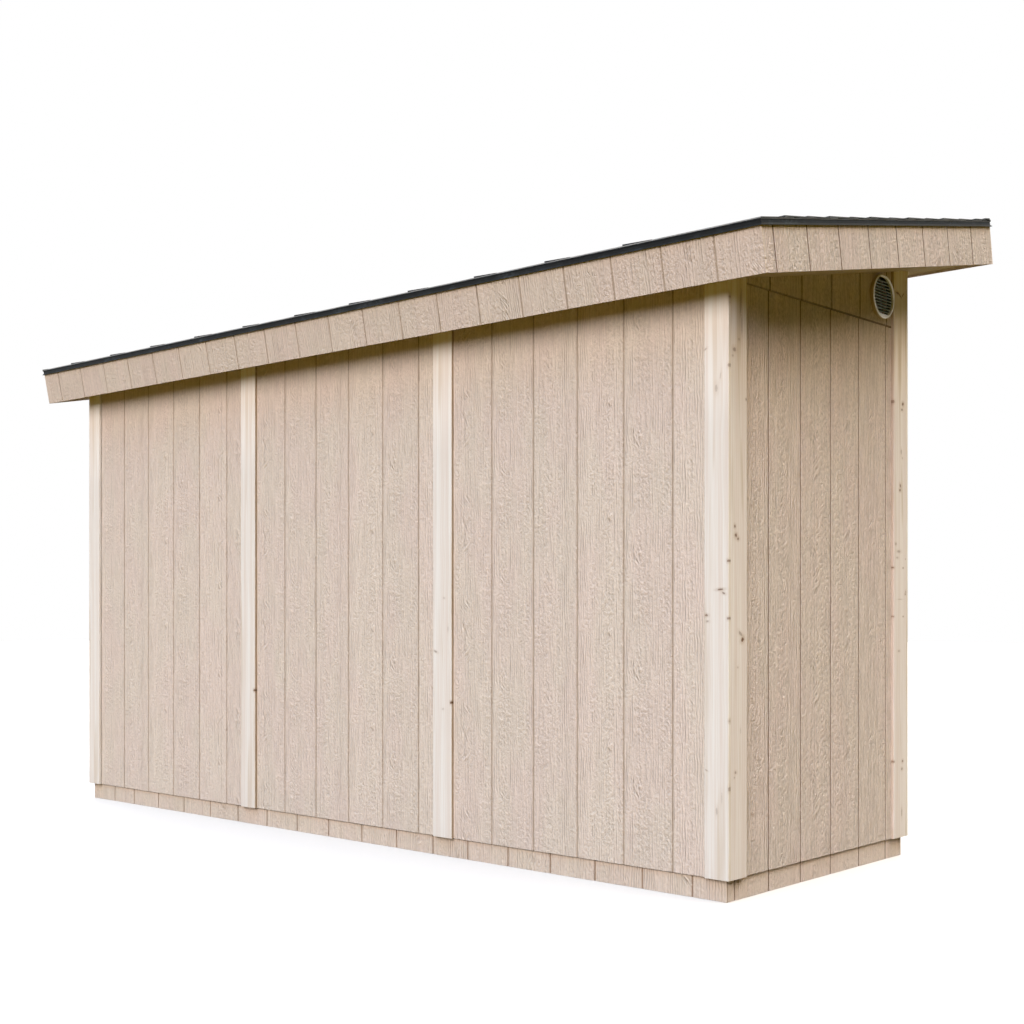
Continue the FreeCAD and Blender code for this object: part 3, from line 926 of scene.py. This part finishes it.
@dataclass
class BoardedParts:
    """Every piece that is cut from the grooved siding sheet."""

    nodes: dict[str, bpy.types.Object]
    effects: Effects
    siding: PressedSiding = field(default_factory=PressedSiding)
    # The end walls' siding: the same sheet as the front, with its colour set for the light on the ends (painted
    # light), darker painted shade in the grooves and stronger painted shade and highlight on the emboss.
    end_siding: PressedSiding = field(default_factory=lambda: PressedSiding(
        colour=(0.710, 0.628, 0.580), rosy=(0.719, 0.619, 0.582), groove_shade_colour=(0.27, 0.20, 0.145),
        groove_full=0.0014, painted_valley_shade=0.73, painted_ridge_light=1.13))
    skirting: PressedSiding = field(default_factory=lambda: PressedSiding(
        colour=(0.738, 0.636, 0.530), rosy=(0.745, 0.626, 0.532), groove_shade_colour=(0.36, 0.265, 0.195),
        groove_full=0.0020, in_step=False))
    # The ends' skirt strips: the same sheet, with its colour set for the light on the ends (painted light) and
    # darker painted shade in the grooves.
    end_skirting_painted_light: PressedSiding = field(default_factory=lambda: PressedSiding(
        colour=(0.775, 0.675, 0.620), rosy=(0.780, 0.668, 0.620), groove_shade_colour=(0.27, 0.20, 0.145),
        groove_full=0.0014, in_step=False))
    # Siding for the soffit, darker and yellower than the sheet it is cut from: painted shade under the eave.
    soffit_painted_shade_siding: PressedSiding = field(default_factory=lambda: PressedSiding(
        colour=(0.520, 0.420, 0.230), rosy=(0.525, 0.413, 0.230)))
    marks: dict[str, tuple[Knot, ...]] = field(default_factory=lambda: {
        "right_end_siding": knot_rows(
            (0.1313, 1.2733, 0.0074, 0.0053, 0.00, 0.30), (0.1338, 0.2670, 0.0074, 0.0053, 0.00, 0.35),
        ),
    })

    def build(self) -> None:
        """Dress the skirts, wall sheets, fascias and soffits."""
        for name, node in sorted(self.nodes.items()):
            side = name.split("_")[0]
            cut_from_sheet = any(word in name for word in ("siding", "skirt", "fascia"))
            if not cut_from_sheet or side not in {face.value for face in Face}:
                continue
            face = Face(side)
            lay = square_to_roof(face) if name.endswith("fascia") else upright(face)
            start = lay.first_groove(node)
            edge = lay.start(node)
            marks = tuple(replace(mark, across=mark.across + edge - start) for mark in self.marks.get(name, ()))
            at_end = face in (Face.RIGHT, Face.LEFT)
            if name.endswith("skirt"):
                siding = self.end_skirting_painted_light if at_end else self.skirting
            else:
                siding = self.end_siding if at_end else self.siding
            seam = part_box(face.value + "_gable_siding")[0].z if at_end and name.endswith("siding") else None
            dress(node, siding.build(self.effects, "pressed_" + name, lay, start, lay.plane(node), marks, seam))
            LOG.info("dressed %s, first groove %.4f m from its edge", name, start - edge)
        soffit = self.nodes["soffit"]
        rise, run = math.sin(ROOF_PITCH), math.cos(ROOF_PITCH)
        lay = Lay((1, 0, 0), (0, run, rise), (0, rise, -run))
        dress(soffit, self.soffit_painted_shade_siding.build(self.effects, "pressed_soffit", lay, 0.0, lay.plane(soffit)))
        LOG.info("dressed soffit")


@dataclass
class TrimBoards:
    """The pine corner boards, end boards and battens."""

    nodes: dict[str, bpy.types.Object]
    effects: Effects
    long_side: PlanedPine = field(default_factory=PlanedPine)
    # Pine of the end boards: colour set for the light on the ends (painted light), with painted shade on the sides
    # and towards the top, and painted light on the tops.
    end_pine_painted_light: PlanedPine = field(default_factory=lambda: PlanedPine(
        colour=(0.812, 0.762, 0.745), grain=(0.545, 0.460, 0.355), blush=(0.725, 0.640, 0.600),
        cream=(0.870, 0.835, 0.810), line_share=0.22, stain_share=0.80, painted_top_shade=0.05, side=(0.76, 0.68, 0.60),
        top_light=1.16, top_from=1.60, top_to=1.90))
    # Battens with much darker side faces: painted shade.
    batten: PlanedPine = field(default_factory=lambda: PlanedPine(side=(0.52, 0.43, 0.33)))
    knots: dict[str, tuple[Knot, ...]] = field(default_factory=lambda: {
        "front_right_corner_board": knot_rows(
            (0.0610, 1.0009, 0.0106, 0.0029, -0.07, 0.75), (0.0739, 0.9890, 0.0057, 0.0032, 0.44, 0.60),
            (0.0082, 0.9180, 0.0058, 0.0039, 0.00, 0.65), (0.0121, 0.8984, 0.0050, 0.0032, 0.00, 0.40),
            (0.0902, 1.0912, 0.0034, 0.0044, 0.00, 0.70), (0.0909, 0.9086, 0.0038, 0.0041, 0.35, 0.60),
            (0.0036, 1.7733, 0.0062, 0.0023, -0.61, 0.35), (0.0458, 1.6442, 0.0050, 0.0112, 0.00, 0.30),
            (0.0618, 1.6830, 0.0023, 0.0112, 0.14, 0.20), (0.0921, 1.7140, 0.0030, 0.0057, 0.17, 0.45),
            (0.0473, 0.2912, 0.0034, 0.0112, 0.00, 0.30), (0.0667, 0.3361, 0.0019, 0.0159, 0.00, 0.20),
            (0.0082, 0.4198, 0.0050, 0.0019, 0.35, 0.35), (0.0958, 1.9322, 0.0030, 0.0070, 0.00, 0.95),
            (0.0958, 1.9125, 0.0030, 0.0051, 0.00, 0.60), (0.0958, 0.5824, 0.0030, 0.0051, 0.00, 0.90),
            (0.0936, 0.3658, 0.0030, 0.0070, 0.00, 0.45),
        ),
        "right_end_low_board": knot_rows(
            (0.0237, 1.2027, 0.0040, 0.0054, -0.14, 0.75), (0.0295, 1.1742, 0.0058, 0.0061, -0.21, 0.80),
            (0.0422, 1.1631, 0.0052, 0.0042, -0.35, 0.65), (0.0561, 0.8590, 0.0105, 0.0051, 0.61, 0.45),
            (0.0677, 0.8399, 0.0082, 0.0061, -0.66, 0.90), (0.0208, 1.7669, 0.0086, 0.0064, 0.00, 0.50),
            (0.0474, 1.8031, 0.0046, 0.0042, 0.00, 0.30), (0.0122, 1.7463, 0.0057, 0.0038, 0.00, 0.25),
            (0.0584, 1.9241, 0.0058, 0.0450, 0.05, 0.35), (0.0642, 1.8479, 0.0035, 0.0321, 0.00, 0.30),
            (0.0888, 1.6146, 0.0035, 0.0039, 0.00, 0.50), (0.0399, 0.7514, 0.0046, 0.0032, 0.00, 0.25),
            (0.0272, 0.4160, 0.0052, 0.0042, 0.00, 0.50), (0.0214, 0.4002, 0.0035, 0.0032, 0.00, 0.30),
            (0.0572, 0.5479, 0.0029, 0.0096, 0.00, 0.20),
        ),
        "front_battens": knot_rows(
            (0.0943, 0.5828, 0.0056, 0.0052, 0.00, 0.90), (1.2057, 0.7748, 0.0086, 0.0034, 0.35, 0.50),
            (1.2873, 0.5845, 0.0042, 0.0049, 0.00, 0.90), (1.2507, 0.9778, 0.0053, 0.0038, 0.00, 0.20),
            (1.2454, 0.5583, 0.0053, 0.0038, 0.00, 0.20), (1.2720, 0.8610, 0.0026, 0.0113, 0.00, 0.20),
        ),
        "right_end_high_board": knot_rows(
            (-0.0013, 1.7158, 0.0056, 0.0056, 0.00, 0.55), (0.0702, 1.7128, 0.0065, 0.0057, -0.44, 0.85),
            (0.0637, 1.6909, 0.0065, 0.0045, 0.00, 0.55), (0.0573, 1.5309, 0.0032, 0.0095, 0.00, 0.50),
            (0.0662, 1.5081, 0.0041, 0.0038, 0.00, 0.25), (0.0500, 1.4029, 0.0048, 0.0068, -0.35, 0.70),
            (0.0476, 1.3854, 0.0057, 0.0049, 0.00, 0.75), (0.0147, 1.1817, 0.0048, 0.0045, 0.00, 0.45),
            (0.0379, 1.1537, 0.0121, 0.0045, 0.00, 0.40), (0.0259, 1.1300, 0.0080, 0.0038, 0.00, 0.30),
            (0.0947, 1.1261, 0.0041, 0.0019, 0.00, 0.40), (-0.0036, 1.0921, 0.0048, 0.0034, 0.00, 0.80),
            (0.0727, 1.0918, 0.0041, 0.0023, 0.00, 0.60), (0.0996, 1.0009, 0.0066, 0.0046, 0.00, 0.70),
            (0.0914, 0.9921, 0.0057, 0.0030, 0.00, 0.40), (0.0476, 0.9730, 0.0161, 0.0015, 0.00, 0.25),
            (-0.0036, 0.9082, 0.0048, 0.0030, 0.00, 0.75), (0.0727, 0.9078, 0.0041, 0.0023, 0.00, 0.50),
            (0.0686, 0.3600, 0.0057, 0.0045, 0.00, 0.60), (0.0629, 0.3309, 0.0057, 0.0045, 0.00, 0.50),
            (0.0003, 0.3629, 0.0048, 0.0038, 0.00, 0.60), (0.0613, 0.1667, 0.0041, 0.0151, 0.00, 0.35),
            (0.0387, 0.7777, 0.0081, 0.0038, 0.00, 0.30), (0.0275, 2.1268, 0.0100, 0.0036, 0.15, 0.90),
            (0.0450, 2.1220, 0.0140, 0.0021, 0.60, 0.70), (0.0700, 2.1255, 0.0110, 0.0021, -0.75, 0.55),
        ),
    })

    def build(self) -> None:
        """Dress each board with its own figure and knots."""
        for name, node in sorted(self.nodes.items()):
            if not (name.endswith("board") or name.endswith("battens")):
                continue
            face = Face(name.split("_")[0])
            lay = upright(face)
            at_end = face in (Face.RIGHT, Face.LEFT)
            pine = self.end_pine_painted_light if at_end else self.batten if name.endswith("battens") else self.long_side
            material = pine.build(self.effects, "pine_" + name, lay, lay.start(node), lay.plane(node),
                                  self.knots.get(name, ()))
            dress(node, material)
            LOG.info("dressed %s", name)


@dataclass
class InnerParts:
    """Floor, wall frames, rafters and boarding."""

    nodes: dict[str, bpy.types.Object]
    effects: Effects
    timber: SawnTimber = field(default_factory=SawnTimber)
    board: StrandBoard = field(default_factory=StrandBoard)

    def build(self) -> None:
        """Dress the frames and the sheets."""
        timber = self.timber.build(self.effects, "sawn_timber")
        walls = [face.value + "_wall_frame" for face in Face]
        for name in ("floor_frame", *walls, "rafters"):
            dress(self.nodes[name], timber)
        board = self.board.build("strand_board")
        for name in ("floor_deck", "roof_deck"):
            dress(self.nodes[name], board)
        LOG.info("dressed floor, frames, rafters and boarding")


@dataclass
class RoofEdge:
    """Metal drip edges and the round vents."""

    nodes: dict[str, bpy.types.Object]
    metal: PaintedMetal = field(default_factory=PaintedMetal)
    plastic: MouldedPlastic = field(default_factory=MouldedPlastic)

    def build(self) -> None:
        """Dress the drip edges and vents."""
        metal = self.metal.build("painted_metal")
        plastic = self.plastic.build("moulded_plastic", *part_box("right_vent"))
        for face in Face:
            dress(self.nodes[face.value + "_drip_edge"], metal)
        for name in ("right_vent", "left_vent"):
            dress(self.nodes[name], plastic)
        LOG.info("dressed drip edges and vents")


@dataclass
class ShingleRoof:
    """Laminated shingles: a full lower layer with raised tabs on it, in lapped courses."""

    nodes: dict[str, bpy.types.Object]
    course: float = 0.1397
    layer: float = 0.0035
    tab: float = 0.0044
    tab_fall: float = 0.80
    tab_at_head: float = 0.35
    tab_pitch: float = 0.3376
    tab_width: float = 0.118
    first_tab: float = -1.8190
    lap: float = 0.052
    starter: float = 0.18
    end_strip: float = 0.10
    tuck: float = 0.0005
    shift: float = 0.006
    narrower: float = 0.010
    wider: float = 0.012
    bevel: float = 0.0008
    cap_from_top: float = 0.048
    cap_width: float = 0.040
    cap_rise: float = 0.0030
    rake_tab: float = 0.095
    least_tab: float = 0.01
    rake_rise: float = 0.0011
    # Strength of the painted highlight on the eave's edge under a tab and on the rake.
    highlight_under_tab: float = 0.75
    highlight_at_rake: float = 0.22
    seed: int = 11
    finish: MineralShingle = field(default_factory=MineralShingle)

    def _frame(self) -> tuple[float, float, float, Matrix]:
        """Read the roof's edges from its solid.

        Returns:
            Left and right ends, slope length, and the matrix from the roof's own frame.
        """
        solid = self.nodes["shingles"].data
        turn = Matrix.Rotation(-ROOF_PITCH, 4, "X")
        points = [turn @ vertex.co for vertex in solid.vertices]
        low = [min(point[i] for point in points) for i in range(3)]
        high = [max(point[i] for point in points) for i in range(3)]
        place = Matrix.Rotation(ROOF_PITCH, 4, "X") @ Matrix.Translation((0.0, low[1], low[2]))
        return low[0], high[0], high[1] - low[1], place

    def _strip(self, left: float, right: float, start: float, end: float, low: float,
               high: float) -> bpy.types.Object:
        """Flat strip in the roof's own frame: x along, y up the slope, z square to it.

        Args:
            left: left end.
            right: right end.
            start: lower edge up the slope.
            end: upper edge up the slope.
            low: underside.
            high: top.

        Returns:
            The strip's object.
        """
        deselect()
        centre = ((left + right) / 2, (start + end) / 2, (low + high) / 2)
        bpy.ops.mesh.primitive_cube_add(size=1.0, location=centre, scale=(right - left, end - start, high - low))
        bpy.ops.object.transform_apply(location=True, rotation=True, scale=True)
        return bpy.context.object

    def _course(self, index: int, left: float, right: float, length: float,
                rng: random.Random) -> bpy.types.Object:
        """Model one course.

        Args:
            index: number of the course, from the low edge.
            left: left end.
            right: right end.
            length: length of the slope.
            rng: source of small differences.

        Returns:
            The course's object.
        """
        start = index * self.course
        end = min(start + self.course + self.lap, length)
        head = min(start + self.course, end)
        piece = self._strip(left, right, start, end, 0.0, self.layer)
        tabs = []
        x = self.first_tab - 3 * self.tab_pitch + (index % 2) * self.tab_pitch / 2
        while x < right:
            begin = x + rng.uniform(-self.shift, self.shift)
            finish = begin + self.tab_width + rng.uniform(-self.narrower, self.wider)
            if left + self.least_tab < finish < right - self.rake_tab - self.least_tab:
                tabs.append((begin, finish))
            x += self.tab_pitch
        if index % 2:
            tabs.append((right - self.rake_tab, right))
        bpy.ops.object.mode_set(mode="EDIT")
        for edges in tabs:
            for edge in edges:
                if left + NEAR < edge < right - NEAR:
                    bpy.ops.mesh.select_all(action="SELECT")
                    bpy.ops.mesh.bisect(plane_co=(edge, 0, 0), plane_no=(1, 0, 0))
        if head < end - 2 * NEAR:
            bpy.ops.mesh.select_all(action="SELECT")
            bpy.ops.mesh.bisect(plane_co=(0, head, 0), plane_no=(0, 1, 0))
        bpy.ops.mesh.select_all(action="DESELECT")
        bpy.ops.mesh.select_mode(type="FACE")
        bpy.ops.object.mode_set(mode="OBJECT")
        for polygon in piece.data.polygons:
            centre = polygon.center
            on_top = polygon.normal.z > 0.9 and centre.y < head
            polygon.select = on_top and any(begin < centre.x < finish for begin, finish in tabs)
        bpy.ops.object.mode_set(mode="EDIT")
        bpy.ops.mesh.extrude_region_move(TRANSFORM_OT_translate={"value": (0, 0, self.tab)})
        bpy.ops.object.mode_set(mode="OBJECT")
        self._wedge(piece, tabs, start)
        drop = self.layer * (1 if index == 0 else 2)
        rise = 0.0 if index == 0 else self.layer / self.course
        for vertex in piece.data.vertices:
            vertex.co.z += drop - rise * (vertex.co.y - start)
        return piece

    def _wedge(self, piece: bpy.types.Object, edges: list[tuple[float, float]], start: float) -> None:
        """Lower each raised tab towards its right-hand side and its head, as the sheet relaxes.

        Args:
            piece: the course.
            edges: left and right edges of its tabs. The narrow one at the right-hand end stays low.
            start: place of its butt edge up the slope.
        """
        for vertex in piece.data.vertices:
            if vertex.co.z > self.layer + self.tab / 2:
                for begin, finish in edges:
                    if begin - NEAR < vertex.co.x < finish + NEAR:
                        across = 1.0 - self.tab_fall * (vertex.co.x - begin) / (finish - begin)
                        up = 1.0 - (1.0 - self.tab_at_head) * (vertex.co.y - start) / self.course
                        at_rake = begin + self.rake_tab > finish - 0.0001
                        vertex.co.z = self.layer + (self.rake_rise if at_rake else self.tab * across * up)

    def build(self) -> bpy.types.Object:
        """Model all courses as one piece that stands for the plain shingle sheet.

        Returns:
            The shingle covering.
        """
        rng = random.Random(self.seed)
        left, right, length, place = self._frame()
        pieces = [self._course(index, left, right, length, rng)
                  for index in range(math.ceil(length / self.course)) if index * self.course < length - 0.005]
        tuck = self.tuck
        under = self.layer - 0.0001
        pieces.append(self._strip(left + 2 * tuck, right - 2 * tuck, 0.0, self.starter, 0.0, under))
        for begin, finish in ((left + tuck, left + self.end_strip), (right - self.end_strip, right - tuck)):
            pieces.append(self._strip(begin, finish, tuck, length - tuck, 0.0, self.layer - 0.0002))
        top = self.layer * 3 + self.cap_rise
        cap_start = length - self.cap_from_top
        pieces.append(self._strip(left, right, cap_start, cap_start + self.cap_width, self.layer, top))
        deselect()
        for piece in pieces:
            piece.select_set(True)
        bpy.context.view_layer.objects.active = pieces[0]
        bpy.ops.object.join()
        roof = bpy.context.object
        roof.name = "shingle_courses"
        roof.data.name = "shingle_courses"
        bevel = roof.modifiers.new("soft_edges", "BEVEL")
        bevel.width = self.bevel
        bevel.segments = 1
        bevel.limit_method = "ANGLE"
        bpy.ops.object.modifier_apply(modifier=bevel.name)
        self._tones(roof, rng)
        roof.matrix_world = place
        bpy.ops.object.transform_apply(location=True, rotation=True, scale=True)
        dress(roof, self.finish.build("mineral_shingle"))
        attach(roof, BODY)
        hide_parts("shingles")
        LOG.info("modelled %s with %d faces", roof.name, len(roof.data.polygons))
        return roof

    @staticmethod
    def _at_eave(polygon: bpy.types.MeshPolygon) -> bool:
        """Whether a face is part of the lower edge at the eave."""
        return polygon.center.y < 2 * NEAR and polygon.normal.y < -SIDEWAYS

    def _tones(self, roof: bpy.types.Object, rng: random.Random) -> None:
        """Store a tone for each shingle, and where an edge gets a painted highlight, on the faces.

        Args:
            roof: the joined courses, still in the roof's own frame.
            rng: source of the tones.
        """
        tone = roof.data.attributes.new("tone", "FLOAT", "FACE")
        painted_highlight = roof.data.attributes.new("painted_highlight", "FLOAT", "FACE")
        tones: dict[tuple[int, int], float] = {}
        right = max(vertex.co.x for vertex in roof.data.vertices)
        fronts = [polygon for polygon in roof.data.polygons
                  if self._at_eave(polygon) and polygon.center.z > self.layer * 2 + 0.0003]
        covered = [(min(xs), max(xs)) for xs in
                   ([roof.data.vertices[index].co.x for index in polygon.vertices] for polygon in fronts)]
        for polygon in roof.data.polygons:
            centre = polygon.center
            row = int(centre.y / self.course)
            column = int((centre.x + 10.0 + row * 0.5) / (self.tab_pitch * 3))
            raised = 1 if centre.z > self.layer * 3.5 else 0
            key = (row * 1000 + column, raised)
            if key not in tones:
                tones[key] = rng.uniform(0.1, 0.9)
            tone.data[polygon.index].value = tones[key]
            upper_layer = self.layer < centre.z < self.layer * 2 + 0.0006
            if self._at_eave(polygon) and upper_layer:
                under_tab = any(low < centre.x < high for low, high in covered)
                painted_highlight.data[polygon.index].value = self.highlight_under_tab if under_tab else 1.0
            elif centre.x > right - 2 * NEAR and polygon.normal.x > SIDEWAYS:
                painted_highlight.data[polygon.index].value = self.highlight_at_rake


@dataclass(frozen=True)
class SoftSun:
    """One distant soft light.

    Attributes:
        name: the light's name.
        bearing: degrees round from the long low side towards the right-hand end.
        height: degrees above the ground.
        width: angular width in degrees.
        energy: strength.
        colour: colour of its light.
    """

    name: str
    bearing: float
    height: float
    width: float
    energy: float
    colour: Triple

    def build(self) -> None:
        """Add the light, turned towards the shed."""
        lamp = bpy.data.lights.new(self.name, "SUN")
        lamp.energy = self.energy
        lamp.angle = math.radians(self.width)
        lamp.color = self.colour
        light = bpy.data.objects.new(self.name, lamp)
        bpy.context.scene.collection.objects.link(light)
        turn, rise = math.radians(self.bearing), math.radians(self.height)
        source = Vector((math.sin(turn) * math.cos(rise), -math.cos(turn) * math.cos(rise), math.sin(rise)))
        light.rotation_euler = (-source).to_track_quat("-Z", "Y").to_euler()


def plain_rays(graph: Graph) -> Socket:
    """Mask of the camera's rays and of those that a mirror or glass sends on, which see plain white."""
    path = graph.node("ShaderNodeLightPath")
    sent_on = graph.math("MAXIMUM", path.outputs["Is Glossy Ray"], path.outputs["Is Transmission Ray"])
    return graph.math("MAXIMUM", path.outputs["Is Camera Ray"], sent_on)


@dataclass
class Studio:
    """Floor, light and camera."""

    eye: Triple = (4.3910, -4.4120, 0.9496)
    turn: float = 0.7361
    lens: float = 49.90
    shift_y: float = 0.0913
    sky: float = 2.22
    sky_colour: Triple = (0.72, 1.30, 1.93)
    sky_from: float = 39.7
    sky_to: float = 69.0
    ground_colour: Triple = (0.0775, 0.049, 0.002)
    floor_colour: Triple = (0.505, 0.455, 0.420)
    floor_glow: float = 0.35
    suns: tuple[SoftSun, ...] = (
        SoftSun("main_light", bearing=19.5, height=26.5, width=42.0, energy=3.20, colour=(1.0, 0.917, 0.896)),
        SoftSun("end_light", bearing=106.0, height=56.6, width=46.9, energy=2.27, colour=(1.0, 0.725, 0.343)),
        SoftSun("rear_light", bearing=225.0, height=40.0, width=60.0, energy=3.4, colour=(1.0, 0.94, 0.87)),
    )

    def build(self) -> None:
        """Set up the whole studio."""
        bpy.context.scene.view_settings.view_transform = "Standard"
        self._world()
        self._floor()
        for sun in self.suns:
            sun.build()
        self._camera()
        LOG.info("set up floor, light and camera")

    def _world(self) -> None:
        """White for the camera and in reflections, and an even sky for light."""
        world = bpy.data.worlds.new("studio_world")
        bpy.context.scene.world = world
        world.use_nodes = True
        graph = Graph(world.node_tree)
        world.node_tree.nodes.clear()
        seen = plain_rays(graph)
        direction = graph.vector("NORMALIZE", graph.node("ShaderNodeTexCoord").outputs["Generated"])
        height = graph.separate(direction)[2]
        rise = graph.span(height, math.sin(math.radians(self.sky_from)), math.sin(math.radians(self.sky_to)),
                          0.0, self.sky)
        sky = graph.node("ShaderNodeBackground")
        sky.inputs["Color"].default_value = rgba(self.sky_colour)
        graph.feed(sky.inputs["Strength"], rise)
        white = graph.node("ShaderNodeBackground")
        white.inputs["Color"].default_value = (1.0, 1.0, 1.0, 1.0)
        white.inputs["Strength"].default_value = 1.0
        both = graph.node("ShaderNodeMixShader")
        graph.feed(both.inputs[0], seen)
        graph.feed(both.inputs[1], sky.outputs[0])
        graph.feed(both.inputs[2], white.outputs[0])
        out = graph.node("ShaderNodeOutputWorld")
        graph.feed(out.inputs["Surface"], both.outputs[0])

    def _floor(self) -> None:
        """Wide floor that looks white, keeps the shadow, and throws back the light of a lawn."""
        deselect()
        bpy.ops.mesh.primitive_plane_add(size=60.0, location=(0.0, 0.0, -0.001))
        floor = bpy.context.object
        floor.name = "studio_floor"
        bpy.ops.object.transform_apply(location=True, rotation=True, scale=True)
        material = bpy.data.materials.new("studio_floor")
        material.use_nodes = True
        graph = Graph(material.node_tree)
        material.node_tree.nodes.clear()
        seen = plain_rays(graph)
        colour = graph.mix(seen, rgba(self.ground_colour), rgba(self.floor_colour))
        matt = graph.node("ShaderNodeBsdfDiffuse")
        graph.feed(matt.inputs["Color"], colour)
        glow = graph.node("ShaderNodeEmission")
        graph.feed(glow.inputs["Strength"], graph.times(seen, self.floor_glow))
        both = graph.node("ShaderNodeAddShader")
        graph.feed(both.inputs[0], matt.outputs[0])
        graph.feed(both.inputs[1], glow.outputs[0])
        out = graph.node("ShaderNodeOutputMaterial")
        graph.feed(out.inputs["Surface"], both.outputs[0])
        dress(floor, material)

    def _camera(self) -> None:
        """Camera at the place that the photograph was taken from."""
        data = bpy.data.cameras.new("camera")
        data.sensor_width = 36.0
        data.lens = self.lens
        data.shift_y = self.shift_y
        data.clip_end = 200.0
        camera = bpy.data.objects.new("camera", data)
        camera.location = self.eye
        camera.rotation_euler = (math.pi / 2, 0.0, self.turn)
        bpy.context.scene.collection.objects.link(camera)
        bpy.context.scene.camera = camera


def main() -> None:
    """Build the shed around its solids."""
    logging.basicConfig(level=logging.INFO, format="%(message)s")
    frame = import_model()
    nodes = frame["nodes"]
    effects = Effects()
    BoardedParts(nodes, effects).build()
    TrimBoards(nodes, effects).build()
    InnerParts(nodes, effects).build()
    RoofEdge(nodes).build()
    ShingleRoof(nodes).build()
    Studio().build()
    deselect()


if __name__ == "__main__":
    main()
